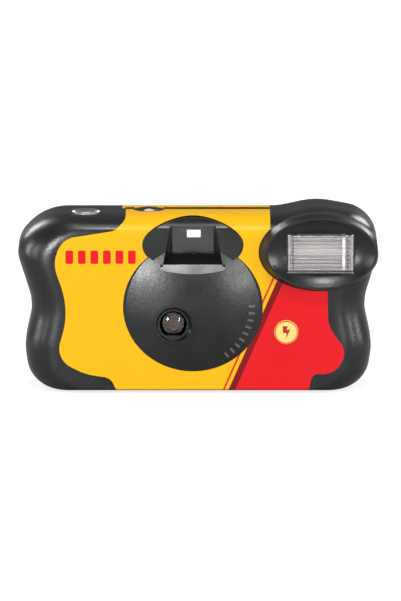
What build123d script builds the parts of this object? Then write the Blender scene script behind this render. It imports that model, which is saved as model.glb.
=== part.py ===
from build123d import *
import math
import os

# Disposable film camera with a built-in flash, in millimetres.
# X runs along the width, Y from the lens towards the back, and Z is up.
# The origin is the middle of the floor face.

# Casing
half_width = 57.4
body_height = 57.0
front_y = -15.0
rear_y = 17.2
front_break_y = -4.0
rear_break_y = 9.0
seam_y = 3.0
seam_gap = 0.3
seam_bead_rise = 0.45
seam_bead_depth = 0.8
seam_bead_left_x = -23.4
seam_bead_right_x = 23.0
wall = 1.6
round_centre_z = 26.0
front_side_round = 11.0
front_top_round = 4.2
front_floor_round = 1.6
rear_side_round = 8.0
rear_top_round = 3.0
rear_floor_round = 1.6
overrun = 12.0
round_sections = 4
cavity_sections = 3
arc_run_share = 0.98

# Casing outline as shares of the half width and the height, with corner radii as shares of the height
outline_shares = [
    (-0.934, 0), (-0.972, 0.254), (-0.921, 0.484), (-1.026, 0.816), (-0.871, 1), (0.453, 1),
    (0.662, 1.046), (0.979, 0.988), (1.008, 0.781), (0.921, 0.491), (0.972, 0.254), (0.934, 0),
]
outline_radius_shares = [0.184, 0.281, 0.316, 0.158, 0.3, 0.491, 0.421, 0.202, 0.211, 0.316, 0.281, 0.184]

# Stickers, with outlines as shares of the same two sizes
label_thickness = 0.35
label_gap = 0.3
front_label_shares = [
    (-0.404, 1.1), (-0.404, 0.982), (-0.467, 0.926), (-0.76, 0.88), (-0.808, 0.737), (-0.718, 0.474),
    (-0.798, 0.193), (-0.627, 0.109), (-0.488, 0.088), (-0.444, -0.01), (-0.444, -0.1), (0.615, -0.1),
    (0.615, 0.01), (0.638, 0.114), (0.753, 0.105), (0.836, 0.228), (0.725, 0.386), (0.72, 0.69),
    (0.401, 0.88), (0.401, 1.1),
]
front_label_radius_shares = [
    0.01, 0.04, 0.07, 0.12, 0.17, 0.45, 0.12, 0.3, 0.07, 0.02, 0.01, 0.01, 0.02, 0.04, 0.12, 0.1, 0.17,
    0.02, 0.02, 0.01,
]
rear_label_shares = [
    (-0.425, 1.1), (-0.425, 0.73), (-0.76, 0.7), (-0.71, 0.474), (-0.79, 0.193), (-0.627, 0.1),
    (-0.46, 0.07), (-0.444, -0.1), (0.615, -0.1), (0.625, 0.08), (0.753, 0.105), (0.82, 0.228),
    (0.73, 0.43), (0.78, 0.66), (0.67, 0.78), (0.401, 0.86), (0.401, 1.1),
]
rear_label_radius_shares = [
    0.01, 0.08, 0.12, 0.4, 0.12, 0.3, 0.06, 0.01, 0.01, 0.04, 0.12, 0.1, 0.17, 0.12, 0.17, 0.08, 0.01,
]

# Lens dome and the lobe above it that holds the viewfinder
dome_x = -1.7
dome_z = 28.2
dome_half_width = 22.05
dome_half_height = 20.7
dome_top_y = -18.0
dome_rise = 3.0
dome_edge_depth = 0.5
lobe_z = 48.2
lobe_half_width = 15.9
lobe_half_height = 8.2
lobe_rise = 0.45
tick_count = 9
tick_start_angle = -55.0
tick_step_angle = 7.0
tick_ring_radius = 18.9
tick_length = 2.0
tick_width = 0.7
tick_height = 0.35

# Taking lens in the dome
lens_x = -8.0
lens_z = 22.6
lens_ring_radius = 7.0
lens_ring_width = 0.5
lens_ring_rise = 0.35
lens_cup_radius = 6.1
lens_cup_depth = 1.5
lens_cup_floor_radius = 5.0
lens_stop_radius = 4.35
lens_radius = 4.8
lens_seat_y = -15.0
lens_thickness = 1.5
lens_front_curve = 9.0
lens_rear_curve = 12.0
lens_flat_drop = 3.6
lens_fit = 0.1
retainer_bore = 2.6
retainer_thickness = 0.6

# Viewfinder
finder_x = -1.7
finder_z = 48.9
finder_width = 13.4
finder_height = 8.8
finder_y = -9.0
finder_lens_thickness = 1.4
finder_frame = 0.9
funnel_top_half = 7.3
funnel_bottom_half = 9.3
funnel_top_z = 54.43
funnel_edge_y = -15.2
funnel_edge_z = 41.93
ledge_low_y = -17.4
ledge_low_z = 38.95
ledge_half = 10.4
tunnel_wall = 0.9
eyepiece_width = 8.0
eyepiece_height = 6.0
eyepiece_thickness = 1.2
eyepiece_rim = 1.0
tunnel_end_y = 14.2

# Flash head in its bezel
bezel_x = 38.8
bezel_z = 45.9
bezel_half_width = 19.2
bezel_half_height = 12.4
rim_x = 39.4
rim_z = 45.9
rim_half_width = 17.8
rim_half_height = 11.6
rim_y = -18.0
rim_width = 0.7
bowl_floor_y = -14.9
bowl_floor_share = 0.56
bowl_middle_share = 0.82
bowl_middle_depth_share = 0.55
flash_x = 39.15
flash_z = 45.5
flash_width = 21.1
flash_height = 12.4
flash_front_y = -16.4
flash_lens_wall = 0.8
flash_flange = 0.9
flash_flange_thickness = 0.7
flash_clearance = 0.25
flash_rib_count = 9
flash_rib_height = 0.3
reflector_depth = 6.6
reflector_wall = 0.45
reflector_tube_share = 0.4
reflector_shoulder_share = 0.75
reflector_back_share = 0.3
tube_radius = 1.3
tube_length = 22.4
tube_cap_length = 1.8
tube_cap_radius = 1.6

# Flash charging button
flash_button_x = 28.2
flash_button_z = 20.0
flash_button_radius = 3.9
flash_button_rise = 0.45
flash_button_flange = 0.8
button_clearance = 0.15

# Shutter release on the top
release_x = -36.0
release_y = -3.2
release_half_width = 4.55
release_half_depth = 3.9
release_rise = 0.7
release_skirt = 3.2
release_dish_depth = 0.5
release_dish_radius = 14.0
release_flange = 0.6
release_flange_drop = 0.6
release_stem_radius = 1.2
release_stem_length = 1.0

# Window over the frame counter
counter_x = -15.8
counter_y = 2.6
counter_half_width = 4.7
counter_half_depth = 4.3
counter_rise = 0.7
counter_flange = 0.9
counter_thickness = 1.2

# Film path
film_y = 11.0
film_thickness = 0.2
film_height = 35.0
film_centre_z = 23.6
gate_width = 36.0
gate_height = 24.0
gate_wall = 1.3
gate_plate_margin_x = 1.4
gate_plate_margin_z = 7.3
film_running_gap = 0.15
perforation_pitch = 4.75
perforation_width = 2.0
perforation_height = 2.8
perforation_edge = 2.0
cone_wall = 1.0
cone_front_half = 3.4

# Film cartridge
cartridge_x = -37.2
cartridge_y = 2.6
cartridge_radius = 12.3
cartridge_cap_radius = 12.5
cartridge_low_z = 3.3
cartridge_high_z = 44.4
cartridge_cap_height = 2.0
cartridge_sheet = 0.5
cartridge_lip_length = 2.6
felt_thickness = 0.5
spool_core_radius = 5.5
spool_flange_radius = 10.6
spool_flange_thickness = 0.8
spool_hub_radius = 3.4
spool_hub_height = 2.6
spool_fit = 0.08
spool_key_half = 1.1
spool_key_share = 0.6

# Supply spool and the film wound on it
supply_x = 27.5
supply_y = 5.6
roll_radius = 9.2
supply_core_radius = 3.5
supply_flange_radius = 9.6
supply_flange_thickness = 1.0
supply_pin_radius = 2.0
supply_pin_length = 2.4

# Advance wheel, sprocket, counter dial and levers
wheel_radius = 15.2
wheel_low_z = 45.1
wheel_high_z = 49.4
wheel_hub_radius = 5.0
wheel_web = 1.4
wheel_tooth_count = 60
wheel_tooth_depth = 0.6
sprocket_x = -12.5
sprocket_radius = 4.3
sprocket_tooth_reach = 1.15
sprocket_tooth_half = 0.6
sprocket_thickness = 1.4
sprocket_teeth = 8
sprocket_shaft_radius = 1.3
sprocket_top_z = 52.1
finger_length = 2.1
finger_half = 0.35
dial_x = -21.2
dial_y = -0.2
dial_radius = 7.9
dial_low_z = 51.2
dial_thickness = 0.9
dial_teeth = 40
dial_tooth_depth = 0.5
dial_pin_radius = 1.2
keeper_low_z = 49.75
keeper_thickness = 0.8
latch_x = -20.5
latch_y = -9.8
latch_length = 6.1
latch_width = 1.9
latch_thickness = 0.8
latch_pin_radius = 1.0
latch_pawl_angle = 115.0

# Shutter behind the lens
plate_y = -11.2
plate_thickness = 0.7
plate_half_width = 12.5
plate_low = 9.0
plate_high = 12.5
plate_bore = 2.2
blade_gap = 0.15
blade_thickness = 0.25
blade_radius = 3.2
blade_arm_length = 7.6
blade_arm_half = 1.1
blade_pin_radius = 0.9
blade_boss_radius = 1.9
blade_ear_length = 3.0
blade_ear_angle = 45.0
cover_plate_y = -12.85
cover_plate_thickness = 0.25
cover_plate_bore = 2.5
striker_offset = 7.2
striker_rise = 6.9
striker_length = 5.6
striker_arm_angle = -40.0
striker_tail_angle = 150.0
striker_tail_length = striker_length * 2 / 3
striker_tail_share = 1.4
striker_half = 1.0
spring_wire = 0.3
spring_coil_radius = 1.0
spring_turns = 4
spring_length = 5.0
spring_lift = 1.6
spring_y = -10.8
striker_thickness = 0.35
pin_clearance = 0.06

# Power
battery_x = -2.6
battery_y = -7.7
battery_z = 8.0
battery_radius = 5.15
battery_length = 43.4
battery_nub_radius = 1.9
battery_nub_length = 0.9
battery_end_gap = 0.3
battery_edge = 0.5
contact_thickness = 0.3
contact_half = 3.2
contact_spring_turns = 3
contact_spring_radius = 2.6
contact_spring_length = 2.2
contact_spring_wire = 0.4

# Flash electronics
board_left_x = 23.8
board_right_x = 45.2
board_low_z = 6.8
board_high_z = 36.0
board_hole_inset = 2.4
board_y = -11.5
board_thickness = 1.2
capacitor_x = 44.1
capacitor_y = -3.6
capacitor_radius = 5.5
capacitor_low_z = 4.3
capacitor_high_z = 33.0
capacitor_groove = 0.5
transformer_x = 31.2
transformer_z = 28.5
transformer_width = 9.0
transformer_height = 8.0
transformer_depth = 4.6
transformer_core = 2.4
transistor_x = 28.6
transistor_z = 11.5
transistor_width = 4.4
transistor_depth = 3.2
transistor_height = 4.6
resistor_length = 3.4
resistor_radius = 0.8
resistor_step = 3.0
resistor_low_z = 8.0
resistor_count = 4
resistor_x = 35.6
sync_x = 5.9
sync_z = 33.6
sync_width = 1.6
sync_length = 7.0
sync_thickness = 0.3
lamp_x = 10.6
lamp_z = 49.4
lamp_radius = 1.5
lamp_round_share = 0.8
lamp_length = 4.6
lamp_y = -3.4
pipe_radius = 1.4
pipe_head_radius = 2.2
pipe_head_length = 1.0

# Flap in the floor under the cartridge
door_left_x = -50.2
door_right_x = -24.6
door_front_y = -10.2
door_rear_y = 14.9
door_corner = 3.0
door_gap = 0.3
door_shell = 1.2
door_hinge_radius = door_shell / 2

# Chassis, lip and snaps
lip_reach = 1.1
lip_root = 1.6
lip_thickness = 0.9
lip_relief_share = 0.8
lip_fit = 0.1
pad_rib_thickness = 1.2
pad_rib_count = 3
housing_wall = 1.2
post_radius = 1.8
keeper_pin_share = 0.7
rib_thickness = 1.2
bridge_width_share = 0.92
bridge_depth_share = 0.6
ledge_width = rib_thickness * 3 / 2
ledge_depth = rib_thickness * 3
chamber_wall = 0.9
chamber_cut_share = 0.7
chamber_clearance = 0.35

# Small sizes of the frame and the works
snap_gap = 0.3
film_gap = 0.1
saddle_gap = 0.15
keeper_post_x = -17.5
keeper_post_y = 9.9
pin_length = 1.3
latch_z = 46.4

# Small sizes of lenses, slots and buttons
lens_rear_dip = 0.5
finder_hollow_radius = 30.0
finder_hollow_depth = 0.4
release_edge = 0.4
wheel_slot_margin = 1.2
wheel_slot_clearance = 0.45
scoop_radius = 26.0
scoop_depth = 1.0
tube_lead_drop = 6.5
tube_lead_radius = 0.3


# Shapes shared by the pieces


def front_plane(y):
    """Plane across the camera at depth y, seen from the lens side."""
    return Plane(origin=(0, y, 0), x_dir=(1, 0, 0), z_dir=(0, -1, 0))


def rounded_face(points, radii, plane):
    """Closed outline of straight runs joined by tangent arcs, which shrink where a run is too short."""
    count = len(points)
    corners = [Vector(*point) for point in points]
    toward = [(corners[(i + 1) % count] - corners[i]).normalized() for i in range(count)]
    halves = [math.radians((-toward[i - 1]).get_angle(toward[i])) / 2 for i in range(count)]
    tangents = [radii[i] / math.tan(halves[i]) for i in range(count)]
    fits = [1.0] * count
    for i in range(count):
        j = (i + 1) % count
        run = (corners[j] - corners[i]).length * arc_run_share
        share = min(1.0, run / (tangents[i] + tangents[j]))
        fits[i] = min(fits[i], share)
        fits[j] = min(fits[j], share)
    arcs = []
    for i in range(count):
        tangent = tangents[i] * fits[i]
        radius = radii[i] * fits[i]
        depth = radius / math.sin(halves[i]) - radius
        middle = corners[i] + (toward[i] - toward[i - 1]).normalized() * depth
        arcs.append((corners[i] - toward[i - 1] * tangent, middle, corners[i] + toward[i] * tangent))
    edges = []
    for i in range(count):
        start, middle, end = arcs[i]
        edges.append(ThreePointArc(start, middle, end))
        edges.append(Line(end, arcs[(i + 1) % count][0]))
    return (plane * make_face(Wire(edges))).face()


def block(x0, x1, y0, y1, z0, z1):
    """Straight block between two corners."""
    size = Box(x1 - x0, y1 - y0, z1 - z0)
    return Pos((x0 + x1) / 2, (y0 + y1) / 2, (z0 + z1) / 2) * size


def post(x, y, z0, z1, radius):
    """Upright cylinder."""
    return Pos(x, y, (z0 + z1) / 2) * Cylinder(radius, z1 - z0)


def pin(x, z, y0, y1, radius):
    """Cylinder along the optical axis."""
    return Pos(x, (y0 + y1) / 2, z) * (Rot(90, 0, 0) * Cylinder(radius, y1 - y0))


def bar(y, z, x0, x1, radius):
    """Cylinder along the width."""
    return Pos((x0 + x1) / 2, y, z) * (Rot(0, 90, 0) * Cylinder(radius, x1 - x0))


def oval_slab(x, z, a, b, y0, y1):
    """Elliptical slab between two depths."""
    face = (front_plane(y1) * Pos(x, z) * Ellipse(a, b)).face()
    return extrude(face, amount=y1 - y0, dir=(0, -1, 0))


def oval_post(x, y, a, b, z0, z1):
    """Upright elliptical post."""
    return extrude(Pos(x, y, z0) * Ellipse(a, b), amount=z1 - z0)


def shell_section(y, inset, side, top, low=0):
    """Casing outline at depth y, drawn in by the inset and by the roundings of side, top and floor."""
    width_scale = 1 - (inset + side) / half_width
    rise_scale = 1 - (inset + top) / round_centre_z
    drop_scale = 1 - (inset + low) / round_centre_z
    points = []
    for x_share, z_share in outline_shares:
        z = z_share * body_height - round_centre_z
        scale = rise_scale if z > 0 else drop_scale
        points.append((x_share * half_width * width_scale, round_centre_z + z * scale))
    radius_scale = min(width_scale, rise_scale, drop_scale)
    radii = [share * body_height * radius_scale for share in outline_radius_shares]
    return rounded_face(points, radii, front_plane(y))


def rounded_end(inset, break_y, end_y, side_round, top_round, floor_round, sections, ruled):
    """End of the casing whose edge rounds off by a quarter of an ellipse."""
    wires = []
    for i in range(sections + 1):
        angle = math.pi / 2 * i / sections
        share = 1 - math.cos(angle)
        y = break_y + (end_y - break_y) * math.sin(angle)
        section = shell_section(y, inset, side_round * share, top_round * share, floor_round * share)
        wires.append(section.outer_wire())
    return Solid.make_loft(wires, ruled)


def front_body(inset, sections=round_sections, ruled=False):
    """Front half of the casing form, drawn in by the inset."""
    end = rounded_end(
        inset, front_break_y, front_y + inset, front_side_round, front_top_round, front_floor_round,
        sections, ruled,
    )
    edge_y = seam_y - seam_gap / 2
    middle = extrude(shell_section(edge_y, inset, 0, 0), amount=edge_y - front_break_y, dir=(0, -1, 0))
    return middle + end


def rear_body(inset, sections=round_sections, ruled=False):
    """Rear half of the casing form, drawn in by the inset."""
    end = rounded_end(
        inset, rear_break_y, rear_y - inset, rear_side_round, rear_top_round, rear_floor_round, sections,
        ruled,
    )
    edge_y = seam_y + seam_gap / 2
    middle = extrude(
        shell_section(rear_break_y, inset, 0, 0), amount=rear_break_y - edge_y, dir=(0, -1, 0)
    )
    return middle + end


def label_prism(shares, radius_shares, y0, y1):
    """Straight prism through a sticker's outline."""
    points = [(x * half_width, z * body_height) for x, z in shares]
    radii = [share * body_height for share in radius_shares]
    face = rounded_face(points, radii, front_plane(y1))
    return extrude(face, amount=y1 - y0, dir=(0, -1, 0))


def trapezoid(y, half_top, half_bottom, z_low, z_high):
    """Upright face with a narrower top, centred on the viewfinder."""
    corners = [(-half_bottom, z_low), (half_bottom, z_low), (half_top, z_high), (-half_top, z_high)]
    points = [(finder_x + x, z) for x, z in corners]
    return (front_plane(y) * make_face(Polyline(*points, close=True))).face()


def pyramid(y0, half0, y1, half1):
    """Four-sided light cone from the lens to the film gate."""
    wires = []
    for y, x, z, half_w, half_h in (
        (y0, lens_x, lens_z, half0[0], half0[1]), (y1, lens_x, film_centre_z, half1[0], half1[1])
    ):
        face = front_plane(y) * Pos(x, z) * Rectangle(half_w * 2, half_h * 2)
        wires.append(face.face().outer_wire())
    return Solid.make_loft(wires, True)


def coil_spring(place, radius, wire, turns, length):
    """Round wire wound into an open coil along the local Z axis."""
    path = Helix(pitch=length / turns, height=length, radius=radius)
    section = Plane(origin=path @ 0, z_dir=path % 0) * Circle(wire / 2)
    return place * sweep(section, path=path)


# Forms of the front of the casing


def dome_form(rise):
    """Slightly domed disc round the taking lens."""
    half = (dome_half_width + dome_half_height) / 2
    radius = (half**2 + dome_rise**2) / (2 * dome_rise)
    ball = Pos(dome_x, dome_top_y + radius, dome_z) * Sphere(radius)
    inner_y = front_y + wall
    slab = oval_slab(dome_x, dome_z, dome_half_width, dome_half_height, dome_top_y - rise, inner_y)
    return slab & ball


def lobe_form():
    """Hood over the viewfinder that stands a little proud of the shell."""
    slab = oval_slab(
        finder_x, lobe_z, lobe_half_width, lobe_half_height, front_y - overrun, front_break_y
    )
    return slab & rounded_end(
        -lobe_rise, front_break_y, front_y - lobe_rise, front_side_round, front_top_round,
        front_floor_round, round_sections, False,
    )


def bezel_form():
    """Oval flash bezel that tapers to its rim and ends with the casing's outline."""
    foot = (
        front_plane(front_y) * Pos(bezel_x, bezel_z) * Ellipse(bezel_half_width, bezel_half_height)
    ).face()
    rim = (front_plane(rim_y) * Pos(rim_x, rim_z) * Ellipse(rim_half_width, rim_half_height)).face()
    base = oval_slab(bezel_x, bezel_z, bezel_half_width, bezel_half_height, front_y, front_break_y)
    cone = Solid.make_loft([foot.outer_wire(), rim.outer_wire()], True)
    outline = extrude(shell_section(front_break_y, 0, 0, 0), amount=front_break_y - rim_y, dir=(0, -1, 0))
    return (base + cone) & outline


def bowl_cut():
    """Dished space between the bezel's rim and the flash window."""
    a = rim_half_width - rim_width
    b = rim_half_height - rim_width
    depth = bowl_floor_y - rim_y
    steps = [
        (rim_y, 1),
        (rim_y + depth * bowl_middle_depth_share, bowl_middle_share),
        (bowl_floor_y, bowl_floor_share),
    ]
    wires = []
    for y, share in steps:
        face = front_plane(y) * Pos(rim_x, rim_z) * Ellipse(a * share, b * share)
        wires.append(face.face().outer_wire())
    mouth = oval_slab(rim_x, rim_z, a, b, rim_y - overrun, rim_y)
    return Solid.make_loft(wires, False) + mouth


def funnel_cut():
    """Viewfinder funnel with the facet cut into the dome below it."""
    depth = funnel_edge_y - finder_y
    half_width_in = finder_width / 2
    rear = trapezoid(
        finder_y, half_width_in, half_width_in, finder_z - finder_height / 2, finder_z + finder_height / 2
    )
    edge = trapezoid(funnel_edge_y, funnel_top_half, funnel_bottom_half, funnel_edge_z, funnel_top_z)
    share = overrun / -depth
    low = funnel_edge_z - (finder_z - finder_height / 2 - funnel_edge_z) * share
    top_half = funnel_top_half + (funnel_top_half - half_width_in) * share
    bottom_half = funnel_bottom_half + (funnel_bottom_half - half_width_in) * share
    high = funnel_top_z + (funnel_top_z - finder_z - finder_height / 2) * share
    mouth = trapezoid(funnel_edge_y - overrun, top_half, bottom_half, low, high)
    inner = Solid.make_loft([rear.outer_wire(), edge.outer_wire()], True)
    outer = Solid.make_loft([edge.outer_wire(), mouth.outer_wire()], True)
    slope = (ledge_low_z - funnel_edge_z) / (ledge_low_y - funnel_edge_y)
    far_y = ledge_low_y - dome_rise
    profile = Polyline(
        (funnel_edge_y, funnel_edge_z),
        (far_y, funnel_edge_z + slope * (far_y - funnel_edge_y)),
        (far_y, funnel_edge_z),
        close=True,
    )
    facet = Plane(
        origin=(finder_x - ledge_half, 0, 0), x_dir=(0, 1, 0), z_dir=(1, 0, 0)
    ) * make_face(profile)
    return inner + outer + extrude(facet, amount=ledge_half * 2)


# Openings and seats of the front


def ball_of_dome(rise):
    """Ball whose cap is the dome's front, raised by the rise."""
    half = (dome_half_width + dome_half_height) / 2
    radius = (half**2 + dome_rise**2) / (2 * dome_rise)
    return Pos(dome_x, dome_top_y + radius, dome_z) * Sphere(radius + rise)


def lens_ring():
    """Fine raised ring round the taking lens."""
    outer = pin(lens_x, lens_z, dome_top_y - overrun, front_y, lens_ring_radius)
    inner = pin(lens_x, lens_z, dome_top_y - overrun, front_y, lens_ring_radius - lens_ring_width)
    return (outer - inner) & ball_of_dome(lens_ring_rise)


def dome_ticks():
    """Short raised marks along the dome's lower right edge."""
    marks = []
    for i in range(tick_count):
        angle = tick_start_angle + i * tick_step_angle
        mark = Box(tick_length, dome_rise * 2, tick_width)
        turned = Pos(dome_x, front_y, dome_z) * Rot(0, -angle, 0) * Pos(tick_ring_radius, 0, 0) * mark
        marks.append(turned & ball_of_dome(tick_height))
    return marks


def lens_opening():
    """Stepped cup, flat-bottomed stop and seat of the taking lens."""
    cup_floor_y = dome_top_y + lens_cup_depth + dome_edge_depth
    cup = front_plane(cup_floor_y) * Pos(lens_x, lens_z) * Circle(lens_cup_floor_radius)
    mouth = front_plane(dome_top_y) * Pos(lens_x, lens_z) * Circle(lens_cup_radius)
    cone = Solid.make_loft([cup.face().outer_wire(), mouth.face().outer_wire()], True)
    front = pin(lens_x, lens_z, dome_top_y - overrun, dome_top_y, lens_cup_radius)
    stop = pin(lens_x, lens_z, cup_floor_y, lens_seat_y, lens_stop_radius)
    flat = block(
        lens_x - lens_stop_radius, lens_x + lens_stop_radius, cup_floor_y, lens_seat_y,
        lens_z - lens_flat_drop, lens_z + lens_stop_radius,
    )
    seat = pin(lens_x, lens_z, lens_seat_y, front_y + wall * 2, lens_radius + lens_fit)
    return cone + front + (stop & flat) + seat


def window_hole(width, height, x, z, y0, y1):
    """Rectangular opening along the optical axis."""
    return block(x - width / 2, x + width / 2, y0, y1, z - height / 2, z + height / 2)


def finder_housing():
    """Box behind the funnel that closes it off from the film chamber."""
    half = funnel_bottom_half + housing_wall
    low = funnel_edge_z - housing_wall
    rear_y_here = finder_y + finder_lens_thickness
    box = block(finder_x - half, finder_x + half, front_y, rear_y_here, low, body_height)
    form = rounded_end(
        0, front_break_y, front_y, front_side_round, front_top_round, front_floor_round, round_sections,
        False,
    )
    return box & form


def door_profile(gap):
    """Rounded rectangle of the floor flap, grown by the gap."""
    width = door_right_x - door_left_x + gap * 2
    depth = door_rear_y - door_front_y + gap * 2
    centre = Pos((door_left_x + door_right_x) / 2, (door_front_y + door_rear_y) / 2, -overrun)
    return extrude(
        centre * RectangleRounded(width, depth, door_corner + gap), amount=overrun + body_height / 4
    )


def inner_top(inset):
    """Height of the flat top face when it is drawn in by the inset."""
    return round_centre_z + (body_height - round_centre_z) * (1 - inset / round_centre_z)


def release_hole():
    """Oval hole in the top for the shutter release."""
    a = release_half_width + button_clearance
    b = release_half_depth + button_clearance
    return oval_post(release_x, release_y, a, b, body_height - wall * 2, body_height + overrun)


def counter_hole(margin, low):
    """Oval hole on the seam for the counter window."""
    a = counter_half_width + margin
    b = counter_half_depth + margin
    return oval_post(counter_x, counter_y, a, b, low, body_height + overrun)


def flash_pocket():
    """Room behind the flash window for its flange and the reflector."""
    width = flash_width + flash_flange * 2 + flash_clearance * 2
    height = flash_height + flash_flange * 2 + flash_clearance * 2
    return window_hole(width, height, flash_x, flash_z, front_y + wall, front_break_y)


def flash_opening():
    """Opening in the bowl that the flash window fills."""
    width = flash_width + flash_clearance * 2
    height = flash_height + flash_clearance * 2
    return window_hole(width, height, flash_x, flash_z, front_y - overrun, front_y + wall * 2)


def front_label_region(gap):
    """Everything the front sticker may cover, less what stands through it."""
    prism = label_prism(
        front_label_shares, front_label_radius_shares, front_y - overrun, seam_y - seam_gap / 2
    )
    prism -= oval_slab(
        dome_x, dome_z, dome_half_width + gap, dome_half_height + gap, front_y - overrun * 2,
        front_break_y,
    )
    prism -= oval_slab(
        finder_x, lobe_z, lobe_half_width + gap, lobe_half_height + gap, front_y - overrun * 2,
        front_break_y,
    )
    prism -= oval_slab(
        bezel_x, bezel_z, bezel_half_width + gap, bezel_half_height + gap, front_y - overrun * 2,
        front_break_y,
    )
    return prism


def front_skin():
    """Outer layer of the front half, as thick as the sticker."""
    return front_body(0) - front_body(label_thickness)


def make_front_cover():
    """Front shell with dome, lobe, bezel and all its openings."""
    shell = front_body(0) + lobe_form() + dome_form(dome_edge_depth) + bezel_form() + lens_ring()
    for mark in dome_ticks():
        shell += mark
    shell -= front_body(wall, cavity_sections, True)
    shell += finder_housing()
    shell -= flash_pocket()
    shell -= bowl_cut()
    shell -= flash_opening()
    shell -= funnel_cut()
    shell -= window_hole(
        finder_width, finder_height, finder_x, finder_z, finder_y - finder_frame, front_break_y
    )
    shell -= lens_opening()
    button_radius = flash_button_radius + button_clearance
    shell -= pin(flash_button_x, flash_button_z, front_y - overrun, front_y + wall * 2, button_radius)
    shell -= release_hole()
    shell -= counter_hole(button_clearance, body_height - wall * 2)
    shell -= door_profile(door_gap)
    return shell.solids().sort_by(SortBy.VOLUME)[-1]


def make_front_label(skin):
    """Printed sticker of the front, wrapped over the top and under the floor."""
    sheet = skin & front_label_region(label_gap)
    radius = flash_button_radius + button_clearance
    sheet -= pin(flash_button_x, flash_button_z, front_y - overrun, front_y + wall, radius)
    sheet -= counter_hole(label_gap, body_height - wall)
    sheet -= door_profile(door_gap)
    return sheet


# Rear of the casing


def seam_lip():
    """Tongue of the rear shell that reaches inside the front shell."""
    edge_y = seam_y + seam_gap / 2
    root = extrude(shell_section(edge_y + lip_root, wall / 2, 0, 0), amount=lip_root, dir=(0, -1, 0))
    tongue_y = seam_y - seam_gap / 2 - lip_reach
    tongue = extrude(
        shell_section(edge_y, wall + lip_fit, 0, 0), amount=edge_y - tongue_y, dir=(0, -1, 0)
    )
    inner = shell_section(edge_y + lip_root, wall + lip_fit + lip_thickness, 0, 0)
    return root + tongue - extrude(inner, amount=lip_root + edge_y - tongue_y, dir=(0, -1, 0))


def wheel_slot():
    """Slot in the back that the thumb wheel shows through, with a shallow scoop above and below."""
    half = math.sqrt(wheel_radius**2 - (rear_y - wall - cartridge_y) ** 2) + wheel_slot_margin
    slot = block(
        cartridge_x - half, cartridge_x + half, rear_y - wall * 2, rear_y + overrun,
        wheel_low_z - wheel_slot_clearance, wheel_high_z + wheel_slot_clearance,
    )
    middle_z = (wheel_low_z + wheel_high_z) / 2
    scoop = Pos(cartridge_x, rear_y + scoop_radius - scoop_depth, middle_z) * Sphere(scoop_radius)
    return slot + scoop


def film_pads():
    """Upright ribs on the back wall that keep the film flat against its rails."""
    pads = []
    low = film_centre_z - gate_height / 2
    high = film_centre_z + gate_height / 2
    step = gate_width / (pad_rib_count + 1)
    for i in range(pad_rib_count):
        x = lens_x - gate_width / 2 + step * (i + 1)
        start_y = film_y + film_thickness + film_running_gap * 2
        pads.append(
            block(
                x - pad_rib_thickness / 2, x + pad_rib_thickness / 2, start_y, rear_y - wall / 2, low,
                high,
            )
        )
    return pads


def seam_bead():
    """Low ridge of the rear shell along the seam between the two stickers."""
    start_y = seam_y + seam_gap / 2
    return block(
        seam_bead_left_x, seam_bead_right_x, start_y, start_y + seam_bead_depth,
        body_height - wall / 2, body_height + seam_bead_rise,
    )


def make_rear_cover():
    """Rear shell with its lip, bead, film pads, eyepiece opening and wheel slot."""
    shell = rear_body(0) + seam_bead() - rear_body(wall, cavity_sections, True)
    lip = seam_lip() - post(
        cartridge_x, cartridge_y, wheel_low_z - snap_gap, wheel_high_z + snap_gap,
        wheel_radius + snap_gap * 2,
    )
    shell += lip - post(
        cartridge_x, cartridge_y, 0, body_height * lip_relief_share, cartridge_cap_radius + snap_gap
    )
    frame = eyepiece_rim + button_clearance
    shell -= window_hole(
        eyepiece_width + frame * 2, eyepiece_height + frame * 2, finder_x, finder_z,
        rear_y - wall - eyepiece_thickness * 2, rear_y - wall,
    )
    for pad in film_pads():
        shell += pad
    shell -= wheel_slot()
    shell -= window_hole(
        eyepiece_width, eyepiece_height, finder_x, finder_z, rear_y - wall * 2, rear_y + overrun
    )
    shell -= pin(lamp_x, lamp_z, rear_y - wall * 2, rear_y + overrun, pipe_radius + button_clearance)
    shell -= counter_hole(button_clearance, body_height - wall * 2)
    shell -= counter_hole(counter_flange + button_clearance, body_height - wall * 4) & block(
        counter_x - overrun, counter_x + overrun, -overrun, seam_y + overrun, 0, inner_top(wall)
    )
    shell -= door_profile(door_gap)
    return shell.solids().sort_by(SortBy.VOLUME)[-1]


def rear_label_region(gap):
    """Everything the rear sticker may cover, less what stands through it."""
    start_y = seam_y + seam_gap / 2 + seam_bead_depth + label_gap
    prism = label_prism(rear_label_shares, rear_label_radius_shares, start_y, rear_y + overrun)
    frame = eyepiece_rim + gap
    prism -= window_hole(
        eyepiece_width + frame * 2, eyepiece_height + frame * 2, finder_x, finder_z, rear_y - wall,
        rear_y + overrun * 2,
    )
    prism -= pin(lamp_x, lamp_z, rear_y - wall, rear_y + overrun * 2, pipe_radius + frame)
    return prism


def make_rear_label(skin):
    """Printed sticker of the back, wrapped over the top and under the floor."""
    sheet = skin & rear_label_region(label_gap)
    sheet -= counter_hole(label_gap, body_height - wall)
    sheet -= door_profile(door_gap)
    return sheet


def rear_skin():
    """Outer layer of the rear half, as thick as the sticker."""
    return rear_body(0) - rear_body(label_thickness)


# Lenses, windows and buttons


def make_taking_lens():
    """Meniscus lens behind the stop of the dome."""
    rear = lens_seat_y + lens_thickness
    body = pin(lens_x, lens_z, lens_seat_y, rear, lens_radius)
    front_ball = Pos(lens_x, lens_seat_y + lens_front_curve, lens_z) * Sphere(lens_front_curve)
    hollow = Pos(lens_x, rear + lens_rear_curve - lens_rear_dip, lens_z) * Sphere(lens_rear_curve)
    return (body & front_ball) - hollow


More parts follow.
